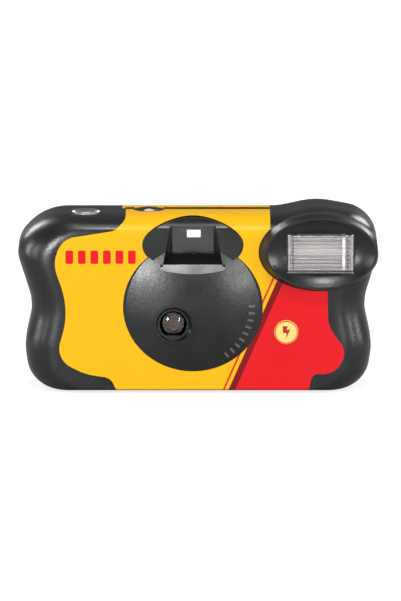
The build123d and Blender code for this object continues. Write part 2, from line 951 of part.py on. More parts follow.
def make_lens_retainer():
    """Ring that clips in behind the taking lens."""
    start = lens_seat_y + lens_thickness
    ring = pin(lens_x, lens_z, start, start + retainer_thickness, lens_radius)
    return ring - pin(lens_x, lens_z, start, start + retainer_thickness, retainer_bore)


def make_viewfinder_front_lens():
    """Front window of the viewfinder with its seating flange."""
    width = finder_width - button_clearance * 2
    height = finder_height - button_clearance * 2
    rear = finder_y + finder_lens_thickness
    lens = window_hole(width, height, finder_x, finder_z, finder_y, rear + finder_frame / 2)
    lens += window_hole(
        width + finder_frame * 2, height + finder_frame * 2, finder_x, finder_z, rear, rear + finder_frame
    )
    ball = Pos(
        finder_x, finder_y - finder_hollow_radius + finder_hollow_depth, finder_z
    ) * Sphere(finder_hollow_radius)
    return lens - ball


def make_viewfinder_eyepiece():
    """Small rear lens that the eye looks through."""
    width = eyepiece_width - button_clearance * 2
    height = eyepiece_height - button_clearance * 2
    seat = rear_y - wall
    lens = window_hole(
        width, height, finder_x, finder_z, seat - eyepiece_thickness, rear_y - eyepiece_thickness / 2
    )
    lens += window_hole(
        width + eyepiece_rim * 2, height + eyepiece_rim * 2, finder_x, finder_z,
        seat - eyepiece_thickness, seat,
    )
    return lens


def make_counter_window():
    """Clear window over the frame counter, cushion-shaped on top."""
    a = counter_half_width
    b = counter_half_depth
    top = body_height + counter_rise
    ceiling = inner_top(wall)
    drum = oval_post(counter_x, counter_y, a, b, ceiling - counter_thickness, top)
    crown_radius = (a**2 + counter_rise**2) / (2 * counter_rise)
    drum = drum & (Pos(counter_x, counter_y, top - crown_radius) * Sphere(crown_radius))
    flange_top = ceiling - button_clearance
    drum += oval_post(
        counter_x, counter_y, a + counter_flange, b + counter_flange, ceiling - counter_thickness,
        flange_top,
    )
    return drum


def make_shutter_button():
    """Oval release with a dished top, a flange under the casing and a short stem."""
    top = body_height + release_rise
    low = body_height - release_skirt
    cap = oval_post(release_x, release_y, release_half_width, release_half_depth, low, top)
    cap = chamfer(cap.faces().sort_by(Axis.Z)[-1].edges(), release_edge)
    cap -= Pos(
        release_x, release_y, top + release_dish_radius - release_dish_depth
    ) * Sphere(release_dish_radius)
    ceiling = inner_top(wall) - release_flange_drop
    cap += oval_post(
        release_x, release_y, release_half_width + release_flange, release_half_depth + release_flange,
        low, ceiling,
    )
    return cap + post(release_x, release_y, low - release_stem_length, low, release_stem_radius)


def make_flash_button():
    """Round charging button that stands just proud of the sticker."""
    face_y = front_y - flash_button_rise
    button = pin(
        flash_button_x, flash_button_z, face_y, front_y + wall + flash_button_flange, flash_button_radius
    )
    button = chamfer(button.faces().sort_by(Axis.Y)[0].edges(), button_clearance)
    start = front_y + wall + button_clearance
    button += pin(
        flash_button_x, flash_button_z, start, start + flash_button_flange,
        flash_button_radius + flash_button_flange,
    )
    return button


def make_flash_window():
    """Clear box-shaped flash window with level ribs behind its face."""
    rear = front_y + wall
    box = window_hole(
        flash_width, flash_height, flash_x, flash_z, flash_front_y, rear + flash_flange_thickness
    )
    box = fillet(box.faces().sort_by(Axis.Y)[0].edges(), flash_lens_wall / 2)
    box += window_hole(
        flash_width + flash_flange * 2, flash_height + flash_flange * 2, flash_x, flash_z,
        rear, rear + flash_flange_thickness,
    )
    inner_width = flash_width - flash_lens_wall * 2
    inner_height = flash_height - flash_lens_wall * 2
    box -= window_hole(
        inner_width, inner_height, flash_x, flash_z, flash_front_y + flash_lens_wall, rear + overrun
    )
    step = inner_height / flash_rib_count
    for i in range(flash_rib_count):
        z = flash_z - inner_height / 2 + step / 2 + step * i
        rib = bar(
            flash_front_y + flash_lens_wall, z, flash_x - inner_width / 2, flash_x + inner_width / 2,
            flash_rib_height,
        )
        box += rib
    return box


def make_flash_reflector():
    """Bright trough behind the flash tube, open to the front."""
    half_width = flash_width / 2 - flash_clearance
    half_height = flash_height / 2 - flash_clearance
    mouth_y = front_y + wall + flash_flange_thickness + flash_clearance
    rear = mouth_y + reflector_depth
    shoulder_y = rear - reflector_depth * reflector_tube_share
    shoulder = half_height * reflector_shoulder_share
    back = half_height * reflector_back_share
    outer = Polyline(
        (mouth_y, flash_z - half_height), (mouth_y, flash_z + half_height),
        (shoulder_y, flash_z + shoulder), (rear, flash_z + back), (rear, flash_z - back),
        (shoulder_y, flash_z - shoulder), close=True,
    )
    side = Plane(origin=(flash_x - half_width, 0, 0), x_dir=(0, 1, 0), z_dir=(1, 0, 0))
    trough = extrude(side * make_face(outer), amount=half_width * 2)
    front = trough.faces().sort_by(Axis.Y)[0]
    cup = offset(trough, amount=-reflector_wall, openings=front)
    bore = tube_radius + flash_clearance
    return cup - bar(shoulder_y, flash_z, flash_x - half_width * 2, flash_x + half_width * 2, bore)


def tube_centre_y():
    """Depth of the flash tube inside its reflector."""
    mouth_y = front_y + wall + flash_flange_thickness + flash_clearance
    return mouth_y + reflector_depth * (1 - reflector_tube_share)


def make_flash_tube():
    """Glass xenon tube."""
    y = tube_centre_y()
    return bar(y, flash_z, flash_x - tube_length / 2, flash_x + tube_length / 2, tube_radius)


def make_flash_tube_caps():
    """Metal caps with a lead at each end of the flash tube."""
    caps = []
    y = tube_centre_y()
    for side in (-1, 1):
        inner = flash_x + side * tube_length / 2
        outer = inner + side * tube_cap_length
        cap = bar(y, flash_z, min(inner, outer), max(inner, outer), tube_cap_radius)
        lead = post(
            outer - side * tube_cap_length / 2, y, flash_z - tube_lead_drop, flash_z, tube_lead_radius
        )
        caps.append(cap + lead)
    return caps


# Chassis


def gate_front_y():
    """Front face of the film gate plate."""
    return film_y - film_running_gap - gate_wall


def cone_inside():
    """Space that the light crosses between the lens and the film."""
    front = (cone_front_half, cone_front_half)
    rear = (gate_width / 2, gate_height / 2)
    y0 = plate_y + plate_thickness
    y1 = film_y - film_running_gap
    return pyramid(y0, front, y1, rear)


def cone_outside():
    """Light cone with its walls."""
    front = (cone_front_half + cone_wall, cone_front_half + cone_wall)
    rear = (gate_width / 2 + cone_wall, gate_height / 2 + cone_wall)
    return pyramid(plate_y + plate_thickness, front, gate_front_y(), rear)


def finder_tunnel(wall_size):
    """Tapered tube between the two viewfinder lenses, grown by the wall."""
    wires = []
    start = finder_y + finder_lens_thickness + finder_frame + door_gap
    for y, width, height in (
        (start, finder_width, finder_height), (tunnel_end_y, eyepiece_width, eyepiece_height)
    ):
        size = Rectangle(width + wall_size * 2, height + wall_size * 2)
        face = front_plane(y) * Pos(finder_x, finder_z) * size
        wires.append(face.face().outer_wire())
    return Solid.make_loft(wires, True)


def chamber_ring(x, y, radius, cut_x):
    """Upright wall round a film chamber, open towards the back and beyond cut_x."""
    low = film_centre_z - gate_height / 2 - gate_plate_margin_z
    high = film_centre_z + gate_height / 2 + gate_plate_margin_z
    ring = post(x, y, low, high, radius + chamber_wall) - post(x, y, low, high, radius)
    keep = block(cut_x, half_width, -overrun * 2, gate_front_y() + gate_wall / 4, low, high)
    return ring & keep


def battery_saddles():
    """Two ribs that cradle the battery under the light cone."""
    ribs = []
    for x in (
        lens_x - plate_half_width + rib_thickness * 2, lens_x + plate_half_width - rib_thickness * 2
    ):
        top = lens_z - plate_low + rib_thickness
        rear = battery_y + battery_radius + rib_thickness
        low = battery_z - battery_radius + battery_end_gap
        rib = block(x - rib_thickness / 2, x + rib_thickness / 2, plate_y - rib_thickness, rear, low, top)
        rib = rib & front_body(wall + snap_gap, 2, True)
        rib -= bar(
            battery_y, battery_z, x - rib_thickness, x + rib_thickness, battery_radius + saddle_gap
        )
        ribs.append(rib.solids().sort_by(SortBy.VOLUME)[-1])
    return ribs


def make_chassis():
    """Inner frame: film gate, light cone, chambers, viewfinder tube and shutter plate."""
    low = film_centre_z - gate_height / 2 - gate_plate_margin_z
    high = film_centre_z + gate_height / 2 + gate_plate_margin_z
    left = lens_x - gate_width / 2 - gate_plate_margin_x
    right = lens_x + gate_width / 2 + gate_plate_margin_x
    frame = block(left, right, gate_front_y(), film_y - film_running_gap, low, high)
    frame += cone_outside()
    frame += block(
        lens_x - plate_half_width, lens_x + plate_half_width, plate_y, plate_y + plate_thickness,
        lens_z - plate_low, lens_z + plate_high,
    )
    frame += chamber_ring(
        cartridge_x, cartridge_y, cartridge_cap_radius + chamber_clearance,
        cartridge_x - cartridge_radius * chamber_cut_share,
    )
    frame += chamber_ring(supply_x, supply_y, supply_flange_radius + chamber_clearance, lens_x)
    reach = supply_flange_radius + chamber_clearance + chamber_wall
    bridge_left = supply_x - reach * bridge_width_share
    bridge_right = supply_x + reach * bridge_width_share
    bridge_front = supply_y - reach * bridge_depth_share
    frame += block(
        right - rib_thickness, bridge_left, gate_front_y() - rib_thickness, gate_front_y(),
        low, high,
    )
    frame += block(
        right - rib_thickness, right, gate_front_y() - rib_thickness, gate_front_y() + gate_wall / 2,
        low, high,
    )
    bridge_rear = gate_front_y()
    frame += block(bridge_left, bridge_right, bridge_front, bridge_rear, high, high + rib_thickness)
    frame += block(bridge_left, bridge_right, bridge_front, bridge_rear, low - rib_thickness, low)
    frame += post(supply_x, supply_y, low, low + supply_pin_length, supply_pin_radius)
    web_x = finder_x
    frame += block(
        web_x - rib_thickness, web_x + rib_thickness, 0, gate_front_y() + gate_wall, lens_z, finder_z
    )
    for rib in battery_saddles():
        frame += rib
    frame += finder_tunnel(tunnel_wall)
    sprocket_y = sprocket_centre_y()
    arm_half = sprocket_shaft_radius + rib_thickness
    frame += block(
        sprocket_x - arm_half, sprocket_x + arm_half, sprocket_y - arm_half, film_y - film_running_gap,
        high - rib_thickness, high,
    )
    frame += post(
        keeper_post_x, keeper_post_y, high - rib_thickness, keeper_low_z, post_radius * keeper_pin_share
    )
    ledge_x = finder_x - finder_width / 2 - tunnel_wall
    frame += block(
        ledge_x - rib_thickness, ledge_x + ledge_width, dial_y - ledge_depth, dial_y,
        finder_z, keeper_low_z,
    )
    frame += pin(blade_pivot_x(), lens_z, plate_y - pin_length, plate_y, blade_pin_radius)
    frame += pin(striker_x(), striker_z(), plate_y - pin_length, plate_y, blade_pin_radius)
    frame += pin(
        striker_x(), striker_z(), plate_y - blade_gap - blade_thickness, plate_y, blade_boss_radius
    )
    frame -= cone_inside()
    frame -= post(cartridge_x, cartridge_y, 0, body_height, cartridge_cap_radius + snap_gap)
    frame -= finder_tunnel(0)
    frame -= pin(lens_x, lens_z, plate_y - rib_thickness, plate_y + plate_thickness * 2, plate_bore)
    frame -= sprocket_notch()
    frame -= post(
        sprocket_x, sprocket_y, high - rib_thickness * 2, high + rib_thickness,
        sprocket_shaft_radius + pin_clearance,
    )
    return frame


def sprocket_centre_y():
    """Depth of the sprocket's axis."""
    return film_y - film_thickness / 2 - snap_gap - sprocket_tooth_reach - sprocket_radius


def perforation_z():
    """Height of the upper row of perforations."""
    return film_centre_z + film_height / 2 - perforation_edge - perforation_height / 2


def sprocket_notch():
    """Slot in the gate plate for the sprocket."""
    half = sprocket_radius + sprocket_tooth_reach + snap_gap
    z = perforation_z()
    tall = sprocket_thickness / 2 + snap_gap
    return block(
        sprocket_x - half, sprocket_x + half, sprocket_centre_y() - half, film_y, z - tall, z + tall
    )


def blade_pivot_x():
    """Position of the shutter blade's pin along the width."""
    return lens_x + blade_arm_length


def striker_x():
    """Position of the striker's pin along the width."""
    return lens_x - striker_offset


def striker_z():
    """Height of the striker's pin."""
    return lens_z + striker_rise


def make_keeper():
    """Flat plate over the advance works, with the dial's pin and the latch's pin."""
    top = keeper_low_z + keeper_thickness
    left = dial_x - dial_radius - rib_thickness
    right = finder_x - finder_width / 2 - tunnel_wall - snap_gap
    plate = block(
        left, right, finder_y + rib_thickness * 2, keeper_post_y + post_radius, keeper_low_z, top
    )
    plate += block(
        latch_x - post_radius, latch_x + post_radius, latch_y - post_radius, dial_y, keeper_low_z, top
    )
    plate += post(dial_x, dial_y, top, dial_low_z - pin_clearance, dial_pin_radius * 2)
    plate += post(dial_x, dial_y, top, dial_low_z + dial_thickness + snap_gap, dial_pin_radius)
    latch_low = latch_z - pin_clearance - snap_gap
    plate += post(latch_x, latch_y, latch_low, keeper_low_z, latch_pin_radius)
    bore = post(
        sprocket_x, sprocket_centre_y(), keeper_low_z - wall, top + wall,
        sprocket_shaft_radius + pin_clearance,
    )
    return plate - bore


# Film and its cartridge


def film_profile():
    """Plan outline of the film from the cartridge's lips to the wound roll."""
    start_x = lens_x - gate_width / 2 - gate_plate_margin_x - cartridge_lip_length / 2
    bend_x = lens_x + gate_width / 2 + gate_plate_margin_x
    tangent_radius = roll_radius + snap_gap
    across = supply_x - bend_x
    down = film_y - supply_y
    distance = math.hypot(across, down)
    angle = math.asin(tangent_radius / distance) - math.atan2(down, across)
    run = math.sqrt(distance**2 - tangent_radius**2)
    end = (bend_x + run * math.cos(angle), film_y + run * math.sin(angle))
    lift = (-math.sin(angle) * film_thickness, math.cos(angle) * film_thickness)
    points = [
        (start_x, film_y), (bend_x, film_y), end, (end[0] + lift[0], end[1] + lift[1]),
        (bend_x + lift[0], film_y + film_thickness), (start_x, film_y + film_thickness),
    ]
    return make_face(Polyline(*points, close=True))


def make_film_strip():
    """Film across the gate with its two rows of perforations."""
    low = film_centre_z - film_height / 2
    strip = extrude(Pos(0, 0, low) * film_profile(), amount=film_height)
    count = int(gate_width / perforation_pitch / 2)
    drop = perforation_z() - film_centre_z
    for i in range(-count + 1, count + 2):
        x = sprocket_x + i * perforation_pitch
        for z in (film_centre_z - drop, film_centre_z + drop):
            strip -= window_hole(
                perforation_width, perforation_height, x, z, film_y - wall, film_y + wall
            )
    return strip


def make_film_roll():
    """Unexposed film wound on the supply spool."""
    low = film_centre_z - film_height / 2
    roll = post(supply_x, supply_y, low, low + film_height, roll_radius)
    return roll - post(supply_x, supply_y, low, low + film_height, supply_core_radius)


def make_supply_spool():
    """Flanged spool that the film is wound on before use."""
    low = film_centre_z - film_height / 2
    high = low + film_height
    flange = supply_flange_thickness
    spool = post(supply_x, supply_y, low - flange, high + flange, supply_core_radius)
    spool += post(supply_x, supply_y, low - flange, low, supply_flange_radius)
    spool += post(supply_x, supply_y, high, high + flange, supply_flange_radius)
    bore = supply_pin_radius + pin_clearance
    return spool - post(supply_x, supply_y, low - flange * 2, high + flange * 2, bore)


def cartridge_lips(thickness, inner):
    """Two flat lips either side of the film, or the felts inside them."""
    right = lens_x - gate_width / 2 - gate_plate_margin_x - snap_gap
    left = right - cartridge_lip_length
    low = cartridge_low_z + cartridge_cap_height + snap_gap
    high = cartridge_high_z - cartridge_cap_height - snap_gap
    front = block(left, right, film_y - inner - thickness, film_y - inner, low, high)
    back_y = film_y + film_thickness + inner
    back = block(left, right, back_y, back_y + thickness, low, high)
    return front, back


def make_cartridge_shell():
    """Rolled sheet body of the film cartridge with its film lips."""
    low = cartridge_low_z + cartridge_sheet
    high = cartridge_high_z - cartridge_sheet
    tube = post(cartridge_x, cartridge_y, low, high, cartridge_radius)
    front, back = cartridge_lips(cartridge_sheet, felt_thickness + film_gap)
    tube += front
    tube += back
    tube -= post(cartridge_x, cartridge_y, low - wall, high + wall, cartridge_radius - cartridge_sheet)
    right = lens_x - gate_width / 2
    slit_half = felt_thickness + film_gap
    inner_low = cartridge_low_z + cartridge_cap_height + snap_gap
    inner_high = cartridge_high_z - cartridge_cap_height - snap_gap
    tube -= block(
        right - gate_plate_margin_x - snap_gap - cartridge_lip_length, right, film_y - slit_half,
        film_y + film_thickness + slit_half, inner_low, inner_high,
    )
    return tube


def make_cartridge_felt():
    """Light-trap plush on both lips."""
    front, back = cartridge_lips(felt_thickness, film_gap)
    return [front, back]


def make_cartridge_caps():
    """Pressed end caps of the cartridge."""
    caps = []
    bore = spool_hub_radius + spool_fit
    for base, direction in ((cartridge_low_z, 1), (cartridge_high_z, -1)):
        inner = base + direction * cartridge_sheet
        tip = base + direction * cartridge_cap_height
        cup = post(cartridge_x, cartridge_y, min(base, tip), max(base, tip), cartridge_cap_radius)
        cup -= post(cartridge_x, cartridge_y, min(inner, tip), max(inner, tip), cartridge_radius)
        cup -= post(cartridge_x, cartridge_y, min(base, tip) - wall, max(base, tip) + wall, bore)
        caps.append(cup)
    return caps


def make_cartridge_spool():
    """Spool inside the cartridge, whose upper hub carries the thumb wheel."""
    low = cartridge_low_z + cartridge_sheet + snap_gap
    high = cartridge_high_z - cartridge_sheet - snap_gap
    spool = post(
        cartridge_x, cartridge_y, cartridge_low_z, cartridge_high_z + spool_hub_height, spool_hub_radius
    )
    spool += post(cartridge_x, cartridge_y, low, high, spool_core_radius)
    spool += post(cartridge_x, cartridge_y, low, low + spool_flange_thickness, spool_flange_radius)
    spool += post(cartridge_x, cartridge_y, high - spool_flange_thickness, high, spool_flange_radius)
    top = cartridge_high_z + spool_hub_height
    key = block(
        cartridge_x - spool_key_half, cartridge_x + spool_key_half, cartridge_y - spool_hub_radius * 2,
        cartridge_y + spool_hub_radius * 2, top - spool_hub_height * spool_key_share, top + wall,
    )
    spool -= key
    return spool


# Advance works


def make_thumbwheel():
    """Serrated wheel keyed to the cartridge spool."""
    middle = Pos(cartridge_x, cartridge_y, wheel_low_z)
    step = 360 / wheel_tooth_count
    points = []
    for i in range(wheel_tooth_count):
        for share, radius in ((0, wheel_radius), (1 / 2, wheel_radius - wheel_tooth_depth)):
            angle = math.radians((i + share) * step)
            points.append((radius * math.sin(angle), radius * math.cos(angle)))
    height = wheel_high_z - wheel_low_z
    wheel = extrude(make_face(Polyline(*points, close=True)), amount=height)
    rim = wheel_radius - wheel_tooth_depth - wheel_web
    for side in (1, -1):
        centre = height / 2 + side * (height + wheel_web) / 2
        wheel -= Pos(0, 0, centre) * (Cylinder(rim, height) - Cylinder(wheel_hub_radius, height * 2))
    wheel = middle * wheel
    top = cartridge_high_z + spool_hub_height
    wheel -= post(
        cartridge_x, cartridge_y, wheel_low_z - wall, top + pin_clearance, spool_hub_radius + spool_fit
    )
    key = block(
        cartridge_x - spool_key_half + spool_fit, cartridge_x + spool_key_half - spool_fit,
        cartridge_y - spool_hub_radius, cartridge_y + spool_hub_radius, top - spool_hub_height / 2,
        top + wall,
    )
    return wheel + key


def tooth_face(root, tip, root_half, tip_half):
    """Plan outline of one tapered tooth that points along the local X axis."""
    return make_face(
        Polyline((root, -root_half), (tip, -tip_half), (tip, tip_half), (root, root_half), close=True)
    )


def make_sprocket():
    """Eight-tooth film sprocket with the dial's driving finger on its shaft."""
    y = sprocket_centre_y()
    z = perforation_z() - sprocket_thickness / 2
    wheel = post(sprocket_x, y, z, z + sprocket_thickness, sprocket_radius)
    tooth = tooth_face(
        sprocket_radius - wall, sprocket_radius + sprocket_tooth_reach, sprocket_tooth_half,
        sprocket_tooth_half / 2,
    )
    for i in range(sprocket_teeth):
        turn = Pos(sprocket_x, y, z) * Rot(0, 0, 90 + 360 / sprocket_teeth * i)
        wheel += extrude(turn * tooth, amount=sprocket_thickness)
    wheel += post(sprocket_x, y, z - sprocket_thickness, sprocket_top_z, sprocket_shaft_radius)
    finger = tooth_face(0, finger_length, finger_half, finger_half / 2)
    aim = math.degrees(math.atan2(dial_y - y, dial_x - sprocket_x))
    turn = Pos(sprocket_x, y, dial_low_z) * Rot(0, 0, aim)
    return wheel + extrude(turn * finger, amount=sprocket_top_z - dial_low_z)


def make_counter_dial():
    """Toothed dial that counts the frames under its window."""
    points = []
    for i in range(dial_teeth):
        for share, radius in ((0, dial_radius), (1 / 2, dial_radius - dial_tooth_depth)):
            angle = 2 * math.pi * (i + share) / dial_teeth
            points.append((radius * math.cos(angle), radius * math.sin(angle)))
    dial = extrude(
        Pos(dial_x, dial_y, dial_low_z) * make_face(Polyline(*points, close=True)), amount=dial_thickness
    )
    return dial - post(
        dial_x, dial_y, dial_low_z - wall, dial_low_z + wall, dial_pin_radius + pin_clearance
    )


def make_latch_lever():
    """Pawl that stops the thumb wheel once a frame is wound."""
    hub = post(latch_x, latch_y, latch_z, latch_z + latch_thickness, latch_width)
    arm = block(
        latch_x - latch_length, latch_x, latch_y - latch_width / 2, latch_y + latch_width / 4,
        latch_z, latch_z + latch_thickness,
    )
    nose = tooth_face(0, latch_width, latch_width / 2, finger_half / 2)
    turn = Pos(
        latch_x - latch_length + latch_width / 2, latch_y - latch_width / 4, latch_z
    ) * Rot(0, 0, latch_pawl_angle)
    lever = hub + arm + extrude(turn * nose, amount=latch_thickness)
    return lever - post(
        latch_x, latch_y, latch_z - wall, latch_z + wall, latch_pin_radius + pin_clearance
    )


# Shutter


def make_shutter_blade():
    """Thin blade that swings clear of the stop."""
    front = plate_y - blade_gap - blade_thickness
    rear = plate_y - blade_gap
    pivot = blade_pivot_x()
    blade = pin(lens_x, lens_z, front, rear, blade_radius) + pin(
        pivot, lens_z, front, rear, blade_boss_radius
    )
    arm = block(lens_x, pivot, front, rear, lens_z - blade_arm_half, lens_z + blade_arm_half)
    ear = Pos(
        pivot, rear - blade_thickness / 2, lens_z
    ) * Rot(0, blade_ear_angle, 0) * Pos(blade_ear_length / 2, 0, 0)
    blade += arm
    blade += ear * Box(blade_ear_length, blade_thickness, blade_arm_half * 2)
    return blade - pin(pivot, lens_z, front - wall, rear + wall, blade_pin_radius + pin_clearance)


def make_striker_lever():
    """Lever that knocks the blade open when it is let go."""
    rear = plate_y - blade_gap * 3 - blade_thickness
    front = rear - striker_thickness
    lever = pin(striker_x(), striker_z(), front, rear, blade_boss_radius)
    arm = Pos(
        striker_x(), (front + rear) / 2, striker_z()
    ) * Rot(0, striker_arm_angle, 0) * Pos(striker_length / 2, 0, 0)
    lever += arm * Box(striker_length, striker_thickness, striker_half * 2)
    tail = Pos(
        striker_x(), (front + rear) / 2, striker_z()
    ) * Rot(0, striker_tail_angle, 0) * Pos(striker_tail_length / 2, 0, 0)
    lever += tail * Box(striker_tail_length, striker_thickness, striker_half * striker_tail_share)
    return lever - pin(
        striker_x(), striker_z(), front - wall, rear + wall, blade_pin_radius + pin_clearance
    )


def make_shutter_cover():
    """Thin plate in front of the blade that keeps it flat."""
    front = cover_plate_y
    plate = block(
        lens_x - plate_half_width, lens_x + plate_half_width, front, front + cover_plate_thickness,
        lens_z - plate_low, lens_z + plate_high,
    )
    return plate - pin(lens_x, lens_z, front - wall, front + wall, cover_plate_bore)


def make_spring(x, z, length):
    """Small level coil spring beside the shutter plate."""
    place = Pos(x, spring_y, z) * Rot(0, 90, 0)
    return coil_spring(place, spring_coil_radius, spring_wire, spring_turns, length)


def make_striker_spring():
    """Coil spring that drives the striker."""
    return make_spring(
        lens_x - plate_half_width + rib_thickness, lens_z + plate_high + spring_lift, spring_length
    )


def make_shutter_spring():
    """Coil spring that closes the blade."""
    return make_spring(lens_x + blade_arm_length / 4, lens_z + plate_high + spring_lift, spring_length)


# Power


def make_battery():
    """Small round cell with its raised terminal."""
    left = battery_x - battery_length / 2
    right = battery_x + battery_length / 2
    cell = bar(battery_y, battery_z, left, right, battery_radius)
    cell = fillet(cell.edges().filter_by(GeomType.CIRCLE), battery_edge)
    return cell + bar(
        battery_y, battery_z, right - battery_edge, right + battery_nub_length, battery_nub_radius
    )


def make_battery_contact_negative():
    """Flat contact leaf at the left end of the cell."""
    right = battery_x - battery_length / 2 - battery_end_gap / 2
    leaf = block(
        right - contact_thickness, right, battery_y - contact_half, battery_y + contact_half,
        battery_z - contact_half, lens_z - plate_low,
    )
    return leaf


def make_battery_contact_positive():
    """Sprung contact at the right end of the cell."""
    left = battery_x + battery_length / 2 + battery_nub_length + battery_end_gap / 2
    place = Pos(left, battery_y, battery_z) * Rot(0, 90, 0)
    spring = coil_spring(
        place, contact_spring_radius, contact_spring_wire, contact_spring_turns, contact_spring_length
    )
    start = left + contact_spring_length
    leaf = block(
        start, start + contact_thickness, battery_y - contact_half, battery_y + contact_half,
        battery_z - contact_half, lens_z - plate_low,
    )
    return spring + leaf


# Flash electronics


def board_rear():
    """Back face of the circuit board."""
    return board_y + board_thickness


def make_circuit_board():
    """Board of the flash circuit with the charging switch pads."""
    board = block(board_left_x, board_right_x, board_y, board_rear(), board_low_z, board_high_z)
    corner = Axis.Y
    board = fillet(board.edges().filter_by(corner), transformer_core / 2)
    for x, z in (
        (board_left_x + board_hole_inset, board_high_z - board_hole_inset),
        (board_right_x - board_hole_inset, board_low_z + board_hole_inset),
    ):
        board -= pin(x, z, board_y - wall, board_rear() + wall, resistor_radius)
    return board


def make_flash_capacitor():
    """Electrolytic can beside the supply chamber."""
    can = post(capacitor_x, capacitor_y, capacitor_low_z, capacitor_high_z, capacitor_radius)
    can = fillet(can.edges().filter_by(GeomType.CIRCLE), capacitor_groove)
    neck_z = capacitor_low_z + capacitor_groove * 4
    ring = Pos(capacitor_x, capacitor_y, neck_z) * Torus(
        capacitor_radius + capacitor_groove / 2, capacitor_groove
    )
    return can - ring


def make_flash_transformer():
    """Ferrite core with its winding on the back of the board."""
    rear = board_rear() + transformer_depth
    half = transformer_width / 2
    tall = transformer_height / 2
    core = window_hole(
        transformer_width, transformer_height, transformer_x, transformer_z, board_rear(), rear
    )
    inner = window_hole(
        transformer_width - transformer_core * 2, transformer_height - transformer_core, transformer_x,
        transformer_z,
        board_rear() + transformer_core / 2, rear - transformer_core / 2,
    )
    core -= inner
    winding_y = (board_rear() + rear) / 2
    winding = post(
        transformer_x, winding_y, transformer_z - tall, transformer_z + tall,
        half - transformer_core - snap_gap,
    )
    return core + winding


def make_power_transistor():
    """Switching transistor with its flat side."""
    y = board_rear()
    body = window_hole(
        transistor_width, transistor_height, transistor_x, transistor_z, y, y + transistor_depth
    )
    return chamfer(body.faces().sort_by(Axis.Y)[-1].edges(), transformer_core / 3)


def make_small_components():
    """Resistors and the diode that lie on the back of the board."""
    parts = []
    for i in range(resistor_count):
        z = resistor_low_z + resistor_step * i
        y = board_rear() + resistor_radius
        body = bar(
            y, z, resistor_x - resistor_length / 2, resistor_x + resistor_length / 2, resistor_radius
        )
        parts.append(fillet(body.edges().filter_by(GeomType.CIRCLE), resistor_radius / 3))
    return parts


def make_sync_contact():
    """Leaf switch that fires the flash when the blade opens."""
    return block(
        sync_x - sync_width / 2, sync_x + sync_width / 2, plate_y - sync_thickness, plate_y,
        sync_z - sync_length, sync_z,
    )


def make_ready_lamp():
    """Neon lamp that shows the flash is charged."""
    lamp = pin(lamp_x, lamp_z, lamp_y, lamp_y + lamp_length, lamp_radius)
    return fillet(lamp.faces().sort_by(Axis.Y)[-1].edges(), lamp_radius * lamp_round_share)


def make_light_pipe():
    """Clear rod that carries the lamp's light to the back."""
    start = lamp_y + lamp_length + snap_gap
    rod = pin(lamp_x, lamp_z, start, rear_y, pipe_radius)
    seat = rear_y - wall - pin_clearance
    return rod + pin(lamp_x, lamp_z, seat - pipe_head_length, seat, pipe_head_radius)


# Floor flap


def whole_form(inset, sections, ruled):
    """Both halves of the casing form without the gap at the seam."""
    joint = extrude(shell_section(seam_y + seam_gap, inset, 0, 0), amount=seam_gap * 2, dir=(0, -1, 0))
    return front_body(inset, sections, ruled) + rear_body(inset, sections, ruled) + joint


def make_cartridge_door():
    """Flap in the floor that opens to let the cartridge out."""
    panel = door_profile(0) & whole_form(0, round_sections, False)
    panel -= whole_form(door_shell, 2, True)
    seat = post(
        cartridge_x, cartridge_y, cartridge_low_z - snap_gap, cartridge_high_z,
        cartridge_cap_radius + snap_gap,
    )
    hinge_x = door_right_x - door_hinge_radius
    edge_low = door_front_y + door_corner
    edge_high = door_rear_y - door_corner
    panel -= block(hinge_x, door_right_x + door_gap, edge_low, edge_high, -overrun, overrun)
    corner_x = hinge_x - door_hinge_radius
    for low, high in ((door_front_y - door_gap, edge_low), (edge_high, door_rear_y + door_gap)):
        panel -= block(corner_x, door_right_x + door_gap, low, high, -overrun, overrun)
    barrel = pin(hinge_x, door_hinge_radius, edge_low, edge_high, door_hinge_radius)
    panel = (panel - seat) + (barrel & whole_form(0, round_sections, False))
    return panel.solids().sort_by(Axis.Z)[0]


def write(name, shape):
    """Writes one named piece."""
    if isinstance(shape, list):
        shape = Compound(children=shape)
    export_step(shape, "parts/" + name + ".step")


